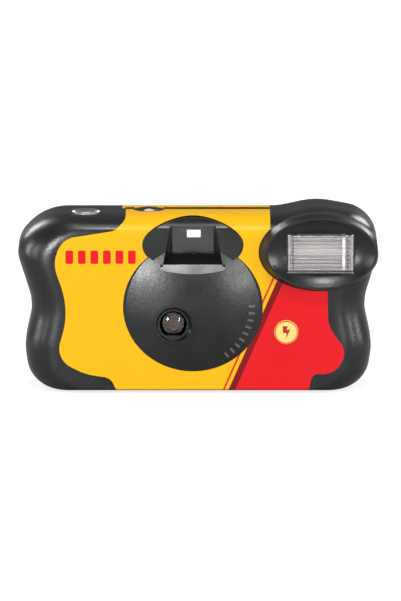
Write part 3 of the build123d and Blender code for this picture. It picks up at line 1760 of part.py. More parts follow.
def main():
    """Builds every piece and writes it."""
    os.makedirs("parts", exist_ok=True)
    front_layer = front_skin()
    rear_layer = rear_skin()
    front_cover = make_front_cover()
    front_cover -= front_layer & front_label_region(0)
    rear_cover = make_rear_cover()
    rear_cover -= rear_layer & rear_label_region(0)
    write("front_cover", front_cover)
    write("rear_cover", rear_cover)
    write("front_label", make_front_label(front_layer))
    write("rear_label", make_rear_label(rear_layer))
    write("chassis", make_chassis())
    write("keeper_plate", make_keeper())
    write("taking_lens", make_taking_lens())
    write("lens_retainer", make_lens_retainer())
    write("viewfinder_front_lens", make_viewfinder_front_lens())
    write("viewfinder_eyepiece", make_viewfinder_eyepiece())
    write("counter_window", make_counter_window())
    write("flash_window", make_flash_window())
    write("flash_reflector", make_flash_reflector())
    write("flash_tube", make_flash_tube())
    write("flash_tube_caps", make_flash_tube_caps())
    write("flash_button", make_flash_button())
    write("shutter_button", make_shutter_button())
    write("film_strip", make_film_strip())
    write("film_roll", make_film_roll())
    write("supply_spool", make_supply_spool())
    write("cartridge_shell", make_cartridge_shell())
    write("cartridge_felt", make_cartridge_felt())
    write("cartridge_caps", make_cartridge_caps())
    write("cartridge_spool", make_cartridge_spool())
    write("thumbwheel", make_thumbwheel())
    write("sprocket", make_sprocket())
    write("counter_dial", make_counter_dial())
    write("latch_lever", make_latch_lever())
    write("shutter_blade", make_shutter_blade())
    write("striker_lever", make_striker_lever())
    write("shutter_cover", make_shutter_cover())
    write("striker_spring", make_striker_spring())
    write("shutter_spring", make_shutter_spring())
    write("battery", make_battery())
    write("battery_contact_negative", make_battery_contact_negative())
    write("battery_contact_positive", make_battery_contact_positive())
    write("circuit_board", make_circuit_board())
    write("flash_capacitor", make_flash_capacitor())
    write("flash_transformer", make_flash_transformer())
    write("power_transistor", make_power_transistor())
    write("small_components", make_small_components())
    write("sync_contact", make_sync_contact())
    write("ready_lamp", make_ready_lamp())
    write("light_pipe", make_light_pipe())
    write("cartridge_door", make_cartridge_door())


main()
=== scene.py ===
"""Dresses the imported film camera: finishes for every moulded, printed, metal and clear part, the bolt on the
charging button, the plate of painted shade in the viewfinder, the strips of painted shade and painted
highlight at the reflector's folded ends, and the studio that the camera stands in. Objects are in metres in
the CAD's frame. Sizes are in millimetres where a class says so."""

import sys
import logging
import math
from abc import ABC, abstractmethod
from dataclasses import dataclass, field
from enum import Enum
from typing import Optional, Sequence, Union

import bmesh
import bpy
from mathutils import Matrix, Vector


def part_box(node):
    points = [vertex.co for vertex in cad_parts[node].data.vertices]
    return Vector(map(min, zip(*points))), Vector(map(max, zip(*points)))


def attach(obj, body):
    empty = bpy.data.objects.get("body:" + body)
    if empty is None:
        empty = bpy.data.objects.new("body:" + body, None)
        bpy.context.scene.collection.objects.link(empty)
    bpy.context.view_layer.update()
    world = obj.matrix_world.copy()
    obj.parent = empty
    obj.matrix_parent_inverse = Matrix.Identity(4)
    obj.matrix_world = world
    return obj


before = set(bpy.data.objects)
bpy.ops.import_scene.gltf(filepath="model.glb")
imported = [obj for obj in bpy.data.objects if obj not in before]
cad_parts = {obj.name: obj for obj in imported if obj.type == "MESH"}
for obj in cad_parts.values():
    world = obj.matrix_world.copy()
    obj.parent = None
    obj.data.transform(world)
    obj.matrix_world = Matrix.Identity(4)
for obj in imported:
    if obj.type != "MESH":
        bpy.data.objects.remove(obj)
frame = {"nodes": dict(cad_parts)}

MM = 0.001
WHITE = (1.0, 1.0, 1.0, 1.0)

# Part of the range from 0 to 1 that a noise texture fills
NOISE_LOW = 0.3
NOISE_HIGH = 0.7

# Colour sockets of a Mix node by place, since its other kinds share their names
MIX_FACTOR = 0
MIX_FIRST = 6
MIX_SECOND = 7
MIX_RESULT = 2

# Rounded rim of a thin flat piece
RIM_SEGMENTS = 2
RIM_PROFILE = 0.6
RIM_DEPTH_SHARE = 0.25

Color = tuple[float, float, float]
Socket = bpy.types.NodeSocket
Feed = Union[float, Sequence[float], Socket]
Inputs = dict[Union[str, int], Feed]
log = logging.getLogger("camera")


class Effect(Enum):
    """Node groups that several finishes share."""

    GRAIN = "moulded_grain"
    DRIFT = "tone_drift"
    SPECKS = "dust_specks"
    DRAWN = "drawn_metal"
    PATCH = "rounded_patch"


class Side(Enum):
    """The two faces that carry a printed sticker."""

    FRONT = "front"
    REAR = "rear"


def solid(color: Color) -> tuple[float, float, float, float]:
    """Returns a colour with full cover."""
    return (*color, 1.0)


class Graph:
    """Places and links nodes in one node tree."""

    def __init__(self, tree: bpy.types.NodeTree) -> None:
        """Takes the tree of a material, a world or a group, and empties it."""
        self.tree = tree
        tree.nodes.clear()

    def feed(self, node: bpy.types.Node, key: Union[str, int], value: Feed) -> None:
        """Links a socket to an input, or sets the input's own value.

        Args:
            node: The node that receives.
            key: Name or index of its input.
            value: A socket or a plain value.
        """
        if isinstance(value, Socket):
            self.tree.links.new(value, node.inputs[key])
        else:
            node.inputs[key].default_value = value

    def node(self, kind: str, inputs: Optional[Inputs] = None, **settings: object) -> bpy.types.Node:
        """Adds one node.

        Args:
            kind: Blender's name of the node type, without its common prefix.
            inputs: Values or sockets by input name or index.
            **settings: Properties of the node.

        Returns:
            The new node.
        """
        node = self.tree.nodes.new("ShaderNode" + kind)
        for name, value in settings.items():
            setattr(node, name, value)
        for key, value in (inputs or {}).items():
            self.feed(node, key, value)
        return node

    def math(self, operation: str, first: Feed, second: Feed = 0.0, third: Feed = 0.0) -> Socket:
        """Adds one Math node.

        Args:
            operation: Blender's name of the operation.
            first: First operand.
            second: Second operand, where the operation has one.
            third: Third operand, where the operation has one.

        Returns:
            The value socket.
        """
        node = self.node("Math", operation=operation)
        for index, value in enumerate((first, second, third)):
            self.feed(node, index, value)
        return node.outputs[0]

    def blend(self, factor: Feed, first: Feed, second: Feed) -> Socket:
        """Mixes two colours.

        Args:
            factor: 0 gives the first and 1 the second.
            first: Colour at factor 0.
            second: Colour at factor 1.

        Returns:
            The colour socket.
        """
        inputs = {MIX_FACTOR: factor, MIX_FIRST: first, MIX_SECOND: second}
        return self.node("Mix", inputs, data_type="RGBA").outputs[MIX_RESULT]

    def ramp(self, value: Feed, begin: Feed, end: Feed, low: Feed = 0.0, high: Feed = 1.0) -> Socket:
        """Maps one range of values to another in a straight line, held at both ends.

        Args:
            value: The value that is mapped.
            begin: Where its range begins.
            end: Where its range ends.
            low: What the beginning becomes.
            high: What the end becomes.

        Returns:
            The value socket.
        """
        inputs = {"Value": value, "From Min": begin, "From Max": end, "To Min": low, "To Max": high}
        return self.node("MapRange", inputs).outputs[0]

    def above(self, value: Feed, limit: float, soft: float) -> Socket:
        """Returns 1 above a limit and 0 below it, with a step that reaches the soft width to both sides."""
        return self.ramp(value, limit - soft, limit + soft)

    def below(self, value: Feed, limit: float, soft: float) -> Socket:
        """Returns 1 below a limit and 0 above it, with a step that reaches the soft width to both sides."""
        return self.ramp(value, limit - soft, limit + soft, 1.0, 0.0)

    def between(self, value: Feed, low: float, high: float, soft: float) -> Socket:
        """Returns 1 where a value lies between two limits and 0 elsewhere, with soft steps."""
        return self.math("MULTIPLY", self.above(value, low, soft), self.below(value, high, soft))

    def radius(self, across: Socket, up: Socket) -> Socket:
        """Returns the distance of a place from the origin of its two coordinates."""
        square = self.math("MULTIPLY_ADD", across, across, self.math("MULTIPLY", up, up))
        return self.math("SQRT", square)

    def object_place(self) -> Socket:
        """Returns the object's own coordinates in metres."""
        return self.node("TexCoord").outputs["Object"]

    def place(self) -> tuple[Socket, Socket, Socket]:
        """Splits the object's own coordinates.

        Returns:
            X, Y and Z in millimetres.
        """
        inputs = {0: self.object_place(), "Scale": 1.0 / MM}
        scaled = self.node("VectorMath", inputs, operation="SCALE")
        parts = self.node("SeparateXYZ", {0: scaled.outputs[0]})
        return parts.outputs[0], parts.outputs[1], parts.outputs[2]

    def seen(self, mirror_share: float) -> Socket:
        """Tells the rays that see the studio's white from those that only carry its light.

        Args:
            mirror_share: How much of the white a mirrored ray sees.

        Returns:
            A socket that is 1 for camera and clear rays, the share for mirrored rays and 0 for the others.
        """
        path = self.node("LightPath")
        mirrored = self.math("MULTIPLY", path.outputs["Is Glossy Ray"], mirror_share)
        direct = self.math("MAXIMUM", path.outputs["Is Camera Ray"], mirrored)
        return self.math("MAXIMUM", direct, path.outputs["Is Transmission Ray"])


@dataclass
class EffectLibrary:
    """Builds each shared node group once. The fields are what all uses of a group have in common."""

    made: dict[Effect, bpy.types.NodeTree] = field(default_factory=dict)
    grain_detail: float = 3.0
    grain_roughness: float = 0.6
    pit_cells_share: float = 0.45
    pit_depth_share: float = 0.6
    gloss_detail: float = 2.0
    drift_detail: float = 4.0
    drift_middle: float = 0.5
    speck_detail: float = 2.0
    speck_begin: float = 0.8
    speck_cover_share: float = 0.3
    speck_end: float = 0.85
    drawn_detail: float = 3.0
    drawn_tone: tuple[float, float] = (0.85, 1.1)

    def tree(self, effect: Effect) -> bpy.types.NodeTree:
        """Returns the group of an effect, building it at its first use.

        Args:
            effect: The effect wanted.

        Returns:
            Its node tree.
        """
        if effect not in self.made:
            builders = {
                Effect.GRAIN: self.grain,
                Effect.DRIFT: self.drift,
                Effect.SPECKS: self.specks,
                Effect.DRAWN: self.drawn,
                Effect.PATCH: self.patch,
            }
            self.made[effect] = builders[effect]()
        return self.made[effect]

    def start(self, effect: Effect, takes: dict[str, float],
              gives: Sequence[str]) -> tuple[Graph, bpy.types.NodeOutputs]:
        """Opens a group with its sockets.

        Args:
            effect: The effect that names the group.
            takes: Input names with their usual values.
            gives: Output names.

        Returns:
            The graph and the sockets of its inputs by name.
        """
        tree = bpy.data.node_groups.new(effect.value, "ShaderNodeTree")
        for name, value in takes.items():
            socket = tree.interface.new_socket(name=name, in_out="INPUT", socket_type="NodeSocketFloat")
            socket.default_value = value
        for name in gives:
            tree.interface.new_socket(name=name, in_out="OUTPUT", socket_type="NodeSocketFloat")
        graph = Graph(tree)
        return graph, tree.nodes.new("NodeGroupInput").outputs

    def close(self, graph: Graph, values: dict[str, Socket]) -> bpy.types.NodeTree:
        """Links a group's outputs.

        Args:
            graph: The group's graph.
            values: Sockets by output name.

        Returns:
            The finished tree.
        """
        end = graph.tree.nodes.new("NodeGroupOutput")
        for name, socket in values.items():
            graph.feed(end, name, socket)
        return graph.tree

    def noise(self, graph: Graph, patches: Feed, detail: float) -> Socket:
        """Returns soft noise from 0 to 1 with so many patches per metre."""
        inputs = {"Vector": graph.object_place(), "Scale": patches, "Detail": detail}
        return graph.node("TexNoise", inputs).outputs["Fac"]

    def grain(self) -> bpy.types.NodeTree:
        """Builds fine spark-eroded pits with a slow change in gloss.

        Returns:
            The group's tree.
        """
        graph, given = self.start(Effect.GRAIN, {"Cells": 4000.0, "Gloss Patches": 90.0}, ("Height", "Gloss"))
        fine = graph.node("TexNoise", {
            "Vector": graph.object_place(), "Scale": given["Cells"], "Detail": self.grain_detail,
            "Roughness": self.grain_roughness,
        })
        pit_cells = graph.math("MULTIPLY", given["Cells"], self.pit_cells_share)
        pits = graph.node("TexVoronoi", {"Vector": graph.object_place(), "Scale": pit_cells})
        pit_depth = graph.math("MULTIPLY", pits.outputs["Distance"], self.pit_depth_share)
        height = graph.math("ADD", pit_depth, fine.outputs["Fac"])
        gloss = self.noise(graph, given["Gloss Patches"], self.gloss_detail)
        return self.close(graph, {"Height": height, "Gloss": gloss})

    def drift(self) -> bpy.types.NodeTree:
        """Builds a slow, even change of tone around 1.

        Returns:
            The group's tree.
        """
        graph, given = self.start(Effect.DRIFT, {"Patches": 60.0, "Amount": 0.1}, ("Tone",))
        noise = self.noise(graph, given["Patches"], self.drift_detail)
        centred = graph.math("SUBTRACT", noise, self.drift_middle)
        return self.close(graph, {"Tone": graph.math("MULTIPLY_ADD", centred, given["Amount"], 1.0)})

    def specks(self) -> bpy.types.NodeTree:
        """Builds a thin scatter of dust and handling marks.

        Returns:
            The group's tree.
        """
        graph, given = self.start(Effect.SPECKS, {"Cells": 1500.0, "Cover": 0.3}, ("Mask",))
        noise = self.noise(graph, given["Cells"], self.speck_detail)
        spread = graph.math("MULTIPLY", given["Cover"], self.speck_cover_share)
        begin = graph.math("SUBTRACT", self.speck_begin, spread)
        return self.close(graph, {"Mask": graph.ramp(noise, begin, self.speck_end)})

    def drawn(self) -> bpy.types.NodeTree:
        """Builds the fine lines that rolling and drawing leave along X on sheet metal.

        Returns:
            The group's tree.
        """
        graph, given = self.start(Effect.DRAWN, {"Along": 120.0, "Across": 3500.0}, ("Height", "Tone"))
        stretch = graph.node("CombineXYZ", {0: given["Along"], 1: given["Across"], 2: given["Across"]})
        inputs = {0: graph.object_place(), 1: stretch.outputs[0]}
        scaled = graph.node("VectorMath", inputs, operation="MULTIPLY")
        inputs = {"Vector": scaled.outputs[0], "Scale": 1.0, "Detail": self.drawn_detail}
        lines = graph.node("TexNoise", inputs).outputs["Fac"]
        return self.close(graph, {"Height": lines, "Tone": graph.ramp(lines, 0.0, 1.0, *self.drawn_tone)})

    def patch(self) -> bpy.types.NodeTree:
        """Builds a rounded rectangle about the origin of two given coordinates.

        Returns:
            The group's tree.
        """
        takes = {"U": 0.0, "V": 0.0, "Half U": 1.0, "Half V": 1.0, "Round": 0.3, "Soft": 0.06}
        graph, given = self.start(Effect.PATCH, takes, ("Mask",))
        reach = []
        for axis in ("U", "V"):
            inner = graph.math("SUBTRACT", given["Half " + axis], given["Round"])
            beyond = graph.math("SUBTRACT", graph.math("ABSOLUTE", given[axis]), inner)
            reach.append(graph.math("MAXIMUM", beyond, 0.0))
        over = graph.math("SUBTRACT", graph.radius(*reach), given["Round"])
        inside = graph.math("MULTIPLY", given["Soft"], -1.0)
        return self.close(graph, {"Mask": graph.ramp(over, given["Soft"], inside)})


EFFECTS = EffectLibrary()


@dataclass(frozen=True)
class Finish(ABC):
    """What every finish has: a name, a colour and a roughness.

    Cells, patches and lines are counts per metre, here and in the finishes below.
    """

    name: str
    color: Color
    roughness: float

    @abstractmethod
    def dress(self, graph: Graph, shader: bpy.types.Node) -> None:
        """Feeds the finish's own colours, gloss and relief to its Principled shader."""

    def build(self) -> bpy.types.Material:
        """Makes the material of this finish.

        Returns:
            A material with its nodes in place.
        """
        material = bpy.data.materials.new(self.name)
        material.use_nodes = True
        material.diffuse_color = solid(self.color)
        graph = Graph(material.node_tree)
        shader = graph.node("BsdfPrincipled")
        graph.node("OutputMaterial", {"Surface": shader.outputs[0]})
        self.dress(graph, shader)
        return material

    def effect(self, graph: Graph, effect: Effect, inputs: dict[str, Feed]) -> bpy.types.NodeOutputs:
        """Places a shared group in the material.

        Args:
            graph: The material's graph.
            effect: The effect wanted.
            inputs: Its values.

        Returns:
            The outputs of the group by name.
        """
        node = graph.tree.nodes.new("ShaderNodeGroup")
        node.node_tree = EFFECTS.tree(effect)
        for name, value in inputs.items():
            graph.feed(node, name, value)
        return node.outputs

    def toned(self, graph: Graph, color: Feed, tone: Socket) -> Socket:
        """Returns a colour made lighter or darker by a tone around 1."""
        return graph.node("HueSaturation", {"Color": color, "Value": tone}).outputs[0]

    def drifted(self, graph: Graph, color: Feed, patches: float, amount: float) -> Socket:
        """Returns a colour whose tone drifts by an amount, with so many patches per metre."""
        drift = self.effect(graph, Effect.DRIFT, {"Patches": patches, "Amount": amount})
        return self.toned(graph, color, drift["Tone"])

    def rough_about(self, graph: Graph, noise: Socket, spread: float) -> Socket:
        """Returns the finish's own roughness, moved by noise up to the spread both ways."""
        return graph.ramp(noise, NOISE_LOW, NOISE_HIGH, self.roughness - spread, self.roughness + spread)

    def relief(self, graph: Graph, shader: bpy.types.Node, height: Socket, depth: float) -> None:
        """Gives the shader a fine relief from a height of 0 to 1 and a depth in millimetres."""
        bump = graph.node("Bump", {"Height": height, "Distance": depth * MM, "Strength": 1.0})
        graph.feed(shader, "Normal", bump.outputs[0])


@dataclass(frozen=True)
class Grained(Finish):
    """A surface with fine grain, as moulded and printed plastic has. Depth in mm."""

    cells: float = 4000.0
    depth: float = 0.02
    gloss_patches: float = 110.0
    gloss_spread: float = 0.05

    def lay_grain(self, graph: Graph, shader: bpy.types.Node) -> Socket:
        """Feeds the grain to the shader's roughness and normal.

        Args:
            graph: The material's graph.
            shader: Its Principled shader.

        Returns:
            The slow noise that moves the gloss.
        """
        grain = self.effect(graph, Effect.GRAIN, {"Cells": self.cells, "Gloss Patches": self.gloss_patches})
        graph.feed(shader, "Roughness", self.rough_about(graph, grain["Gloss"], self.gloss_spread))
        self.relief(graph, shader, grain["Height"], self.depth)
        return grain["Gloss"]


@dataclass(frozen=True)
class Moulding(Grained):
    """Injection-moulded plastic with an eroded or polished tool face."""

    tone: float = 0.12
    tone_patches: float = 70.0
    specks: float = 0.25
    speck_cells: float = 1300.0
    speck_share: float = 0.5
    speck_gain: float = 1.5
    speck_lift: float = 0.02
    shine: float = 0.35
    coat: float = 0.0
    coat_roughness: float = 0.12

    def dress(self, graph: Graph, shader: bpy.types.Node) -> None:
        """Feeds grain, tone, specks and gloss to the shader.

        Args:
            graph: The material's graph.
            shader: Its Principled shader.
        """
        base = self.drifted(graph, solid(self.color), self.tone_patches, self.tone)
        dusty = tuple(min(1.0, part * self.speck_gain + self.speck_lift) for part in self.color)
        marks = self.effect(graph, Effect.SPECKS, {"Cells": self.speck_cells, "Cover": self.specks})
        faint = graph.math("MULTIPLY", marks["Mask"], self.speck_share)
        graph.feed(shader, "Base Color", graph.blend(faint, base, solid(dusty)))
        graph.feed(shader, "Specular IOR Level", self.shine)
        graph.feed(shader, "Coat Weight", self.coat)
        graph.feed(shader, "Coat Roughness", self.coat_roughness)
        self.lay_grain(graph, shader)


@dataclass(frozen=True)
class Casing(Moulding):
    """Black covers: a coarser grain, and more dust and gloss from handling."""

    cells: float = 1700.0
    depth: float = 0.024
    tone: float = 0.3
    specks: float = 0.8
    shine: float = 0.52


@dataclass(frozen=True)
class MarkedCasing(Casing):
    """Front cover whose raised ticks round the lens carry a painted highlight. Sizes in mm, angles in degrees.
    """

    # The ticks stand on these places in the CAD's front cover
    centre: tuple[float, float] = (-1.7, 28.2)
    ring: float = 18.9
    tick_length: float = 2.0
    tick_width: float = 0.7
    first_angle: float = -55.0
    step_angle: float = 7.0
    count: int = 9
    soft: float = 0.1
    # Painted highlight: lighter colour on the ticks' tops for the light that catches them
    tick_highlight: Color = (0.09, 0.092, 0.092)

    def dress(self, graph: Graph, shader: bpy.types.Node) -> None:
        """Lays the painted highlight of the ticks over the casing's own look.

        Args:
            graph: The material's graph.
            shader: Its Principled shader.
        """
        super().dress(graph, shader)
        base = shader.inputs["Base Color"].links[0].from_socket
        # Mixes the painted highlight onto the ticks' tops
        graph.feed(shader, "Base Color", graph.blend(self.tick_mask(graph), base, solid(self.tick_highlight)))

    def tick_mask(self, graph: Graph) -> Socket:
        """Masks the tops of the ticks.

        Args:
            graph: The material's graph.

        Returns:
            The mask socket.
        """
        x, _, z = graph.place()
        across = graph.math("SUBTRACT", x, self.centre[0])
        up = graph.math("SUBTRACT", z, self.centre[1])
        radius = graph.radius(across, up)
        angle = graph.math("DEGREES", graph.math("ARCTAN2", up, across))
        half_step = self.step_angle / 2
        run = graph.math("SUBTRACT", angle, self.first_angle - half_step)
        lane = graph.math("SUBTRACT", graph.math("FLOORED_MODULO", run, self.step_angle), half_step)
        aside = graph.math("MULTIPLY", graph.math("RADIANS", lane), radius)
        narrow = graph.between(aside, -self.tick_width / 2, self.tick_width / 2, self.soft)
        reach = (self.ring - self.tick_length / 2, self.ring + self.tick_length / 2)
        long = graph.between(radius, *reach, self.soft)
        within = graph.between(run, 0.0, self.step_angle * self.count, self.soft)
        return graph.math("MULTIPLY", graph.math("MULTIPLY", narrow, long), within)


@dataclass(frozen=True)
class Clear(Finish):
    """Clear polished plastic or glass. Film in nanometres, ripple depth in mm."""

    index: float = 1.49
    film: float = 0.0
    film_index: float = 1.38
    ripple: float = 0.004
    ripple_cells: float = 350.0
    tone: float = 0.04
    tone_patches: float = 120.0
    specks: float = 0.2
    speck_cells: float = 900.0
    speck_roughness: float = 0.1

    def dress(self, graph: Graph, shader: bpy.types.Node) -> None:
        """Makes the shader clear, with a faint moulding ripple and a coated sheen where it has one.

        Args:
            graph: The material's graph.
            shader: Its Principled shader.
        """
        graph.feed(shader, "Base Color", self.drifted(graph, solid(self.color), self.tone_patches, self.tone))
        marks = self.effect(graph, Effect.SPECKS, {"Cells": self.speck_cells, "Cover": self.specks})
        rough = graph.math("MULTIPLY_ADD", marks["Mask"], self.speck_roughness, self.roughness)
        graph.feed(shader, "Roughness", rough)
        graph.feed(shader, "Transmission Weight", 1.0)
        graph.feed(shader, "IOR", self.index)
        graph.feed(shader, "Thin Film Thickness", self.film)
        graph.feed(shader, "Thin Film IOR", self.film_index)
        grain = self.effect(graph, Effect.GRAIN, {"Cells": self.ripple_cells})
        self.relief(graph, shader, grain["Height"], self.ripple)


@dataclass(frozen=True)
class Metal(Finish):
    """Rolled, drawn or polished metal, with lines counted along and across the drawing. Depth in mm."""

    along: float = 120.0
    across: float = 3500.0
    depth: float = 0.004
    spread: float = 0.05

    def dress(self, graph: Graph, shader: bpy.types.Node) -> None:
        """Feeds the drawing lines and their tone to a metallic shader.

        Args:
            graph: The material's graph.
            shader: Its Principled shader.
        """
        lines = self.effect(graph, Effect.DRAWN, {"Along": self.along, "Across": self.across})
        graph.feed(shader, "Base Color", self.toned(graph, solid(self.color), lines["Tone"]))
        graph.feed(shader, "Metallic", 1.0)
        graph.feed(shader, "Roughness", self.rough_about(graph, lines["Height"], self.spread))
        self.relief(graph, shader, lines["Height"], self.depth)


@dataclass(frozen=True)
class Sticker(Grained):
    """Laminated print: two fields, a sloping band, a thin stripe and a row of film holes. Sizes in mm."""

    cells: float = 2600.0
    depth: float = 0.004
    gloss_patches: float = 80.0
    gloss_spread: float = 0.04
    tone: float = 0.05
    tone_patches: float = 45.0
    shine: float = 0.2
    side: Side = Side.FRONT
    red: Color = (0.61, 0.006, 0.011)
    dark_red: Color = (0.18, 0.003, 0.004)
    # Foot of the band's left edge, and the direction across the band, both as X and Z
    foot: tuple[float, float] = (9.6, 1.0)
    across: tuple[float, float] = (0.9159, -0.4015)
    band: float = 2.0
    stripe: tuple[float, float] = (-1.7, -1.1)
    hole_start: float = -43.2
    hole_end: float = -19.2
    hole_pitch: float = 4.0
    hole_z: float = 44.3
    hole_half: tuple[float, float] = (1.25, 2.2)
    hole_round: float = 0.6
    row_soft: float = 0.05
    soft: float = 0.08

    def dress(self, graph: Graph, shader: bpy.types.Node) -> None:
        """Prints the fields and marks, and laminates them.

        Args:
            graph: The material's graph.
            shader: Its Principled shader.
        """
        x, _, z = graph.place()
        if self.side is Side.REAR:
            x = graph.math("MULTIPLY", x, -1.0)
        run = graph.math("MULTIPLY", graph.math("SUBTRACT", x, self.foot[0]), self.across[0])
        slope = graph.math("MULTIPLY_ADD", graph.math("SUBTRACT", z, self.foot[1]), self.across[1], run)
        red = solid(self.red)
        color = graph.blend(graph.above(slope, 0.0, self.soft), solid(self.color), red)
        color = graph.blend(graph.between(slope, 0.0, self.band, self.soft), color, solid(self.dark_red))
        color = graph.blend(graph.between(slope, *self.stripe, self.soft), color, red)
        color = graph.blend(self.hole_mask(graph, x, z), color, red)
        graph.feed(shader, "Base Color", self.drifted(graph, color, self.tone_patches, self.tone))
        graph.feed(shader, "Specular IOR Level", self.shine)
        self.lay_grain(graph, shader)

    def hole_mask(self, graph: Graph, x: Socket, z: Socket) -> Socket:
        """Masks the row of printed film holes.

        Args:
            graph: The material's graph.
            x: Place across the camera in millimetres.
            z: Height in millimetres.

        Returns:
            The mask socket.
        """
        from_start = graph.math("SUBTRACT", x, self.hole_start)
        repeated = graph.math("FLOORED_MODULO", from_start, self.hole_pitch)
        across = graph.math("SUBTRACT", repeated, self.hole_pitch / 2)
        up = graph.math("SUBTRACT", z, self.hole_z)
        sizes = {"Half U": self.hole_half[0], "Half V": self.hole_half[1], "Round": self.hole_round}
        patch = self.effect(graph, Effect.PATCH, {"U": across, "V": up, **sizes})
        row = graph.between(x, self.hole_start, self.hole_end, self.row_soft)
        return graph.math("MULTIPLY", patch["Mask"], row)


@dataclass(frozen=True)
class ButtonPrint(Grained):
    """Light disc with a printed ring, centred on the charging button. Sizes in mm."""

    cells: float = 3000.0
    depth: float = 0.005
    gloss_patches: float = 200.0
    gloss_spread: float = 0.04
    tone: float = 0.06
    tone_patches: float = 150.0
    ring: Color = (0.72, 0.07, 0.01)
    centre: tuple[float, float] = (28.2, 20.0)
    ring_inner: float = 3.35
    ring_outer: float = 3.75
    soft: float = 0.08

    def dress(self, graph: Graph, shader: bpy.types.Node) -> None:
        """Prints the ring on the disc.

        Args:
            graph: The material's graph.
            shader: Its Principled shader.
        """
        x, _, z = graph.place()
        across = graph.math("SUBTRACT", x, self.centre[0])
        up = graph.math("SUBTRACT", z, self.centre[1])
        mask = graph.between(graph.radius(across, up), self.ring_inner, self.ring_outer, self.soft)
        color = graph.blend(mask, solid(self.color), solid(self.ring))
        graph.feed(shader, "Base Color", self.drifted(graph, color, self.tone_patches, self.tone))
        self.lay_grain(graph, shader)


@dataclass(frozen=True)
class DialPrint(Grained):
    """White counter dial with a ring of plain strokes. Sizes in mm, shares of the strokes' pitch."""

    cells: float = 2500.0
    depth: float = 0.006
    gloss_patches: float = 150.0
    gloss_spread: float = 0.04
    ink: Color = (0.02, 0.02, 0.02)
    centre: tuple[float, float] = (-21.2, -0.2)
    strokes: float = 40.0
    inner: float = 5.2
    outer: float = 6.9
    ring_soft: float = 0.05
    stroke_middle_share: float = 0.5
    stroke_half_share: float = 0.14
    stroke_soft_share: float = 0.03

    def dress(self, graph: Graph, shader: bpy.types.Node) -> None:
        """Prints the strokes round the dial.

        Args:
            graph: The material's graph.
            shader: Its Principled shader.
        """
        x, y, _ = graph.place()
        across = graph.math("SUBTRACT", x, self.centre[0])
        back = graph.math("SUBTRACT", y, self.centre[1])
        ring = graph.between(graph.radius(across, back), self.inner, self.outer, self.ring_soft)
        turn = graph.math("MULTIPLY", graph.math("ARCTAN2", back, across), self.strokes / math.tau)
        phase = graph.math("SUBTRACT", graph.math("FLOORED_MODULO", turn, 1.0), self.stroke_middle_share)
        stroke = graph.below(graph.math("ABSOLUTE", phase), self.stroke_half_share, self.stroke_soft_share)
        mask = graph.math("MULTIPLY", ring, stroke)
        graph.feed(shader, "Base Color", graph.blend(mask, solid(self.color), solid(self.ink)))
        self.lay_grain(graph, shader)


@dataclass(frozen=True)
class Felt(Grained):
    """Short black plush. Depth in mm."""

    cells: float = 6000.0
    depth: float = 0.08
    gloss_patches: float = 300.0
    nap_tone: tuple[float, float] = (0.7, 1.4)
    sheen: float = 0.6
    sheen_roughness: float = 0.5

    def dress(self, graph: Graph, shader: bpy.types.Node) -> None:
        """Gives the pile its sheen and nap.

        Args:
            graph: The material's graph.
            shader: Its Principled shader.
        """
        nap = self.lay_grain(graph, shader)
        tone = graph.ramp(nap, NOISE_LOW, NOISE_HIGH, *self.nap_tone)
        graph.feed(shader, "Base Color", self.toned(graph, solid(self.color), tone))
        graph.feed(shader, "Sheen Weight", self.sheen)
        graph.feed(shader, "Sheen Roughness", self.sheen_roughness)


@dataclass(frozen=True)
class Board(Finish):
    """Phenolic board with paper fibres and tinned tracks that run aslant. Sizes in mm."""

    tin: Color = (0.62, 0.62, 0.6)
    pitch: float = 3.4
    track: float = 0.45
    slant_share: float = 0.35
    run_pitches: float = 2.0
    gap_pitches: float = 0.4
    soft: float = 0.05
    depth: float = 0.03
    fibre_tone: float = 0.5
    fibre_patches: float = 700.0
    gloss_patches: float = 120.0
    gloss_spread: float = 0.05

    def dress(self, graph: Graph, shader: bpy.types.Node) -> None:
        """Lays the fibres and the tracks.

        Args:
            graph: The material's graph.
            shader: Its Principled shader.
        """
        x, _, z = graph.place()
        slant = graph.math("ADD", x, graph.math("MULTIPLY", z, self.slant_share))
        lanes = graph.math("PINGPONG", slant, self.pitch)
        middle = self.pitch / 2
        track = graph.between(lanes, middle - self.track, middle + self.track, self.soft)
        run = self.pitch * self.run_pitches
        steps = graph.between(graph.math("PINGPONG", z, run), self.pitch * self.gap_pitches, run, self.soft)
        mask = graph.math("MULTIPLY", track, steps)
        fibre = self.drifted(graph, solid(self.color), self.fibre_patches, self.fibre_tone)
        graph.feed(shader, "Base Color", graph.blend(mask, fibre, solid(self.tin)))
        graph.feed(shader, "Metallic", mask)
        grain = self.effect(graph, Effect.GRAIN, {"Gloss Patches": self.gloss_patches})
        graph.feed(shader, "Roughness", self.rough_about(graph, grain["Gloss"], self.gloss_spread))
        self.relief(graph, shader, mask, self.depth)


@dataclass(frozen=True)
class FloorWhite(Finish):
    """Floor of the studio: pale, and white to the camera where no shadow falls."""

    lift: float = 0.76
    mirror_share: float = 0.1
    tone: float = 0.01
    tone_patches: float = 0.6

    def dress(self, graph: Graph, shader: bpy.types.Node) -> None:
        """Adds the background's own light for camera, mirrored and clear rays only.

        Args:
            graph: The material's graph.
            shader: Its Principled shader.
        """
        graph.feed(shader, "Base Color", self.drifted(graph, solid(self.color), self.tone_patches, self.tone))
        graph.feed(shader, "Roughness", self.roughness)
        graph.feed(shader, "Specular IOR Level", 0.0)
        graph.feed(shader, "Emission Color", WHITE)
        strength = graph.math("MULTIPLY", graph.seen(self.mirror_share), self.lift)
        graph.feed(shader, "Emission Strength", strength)


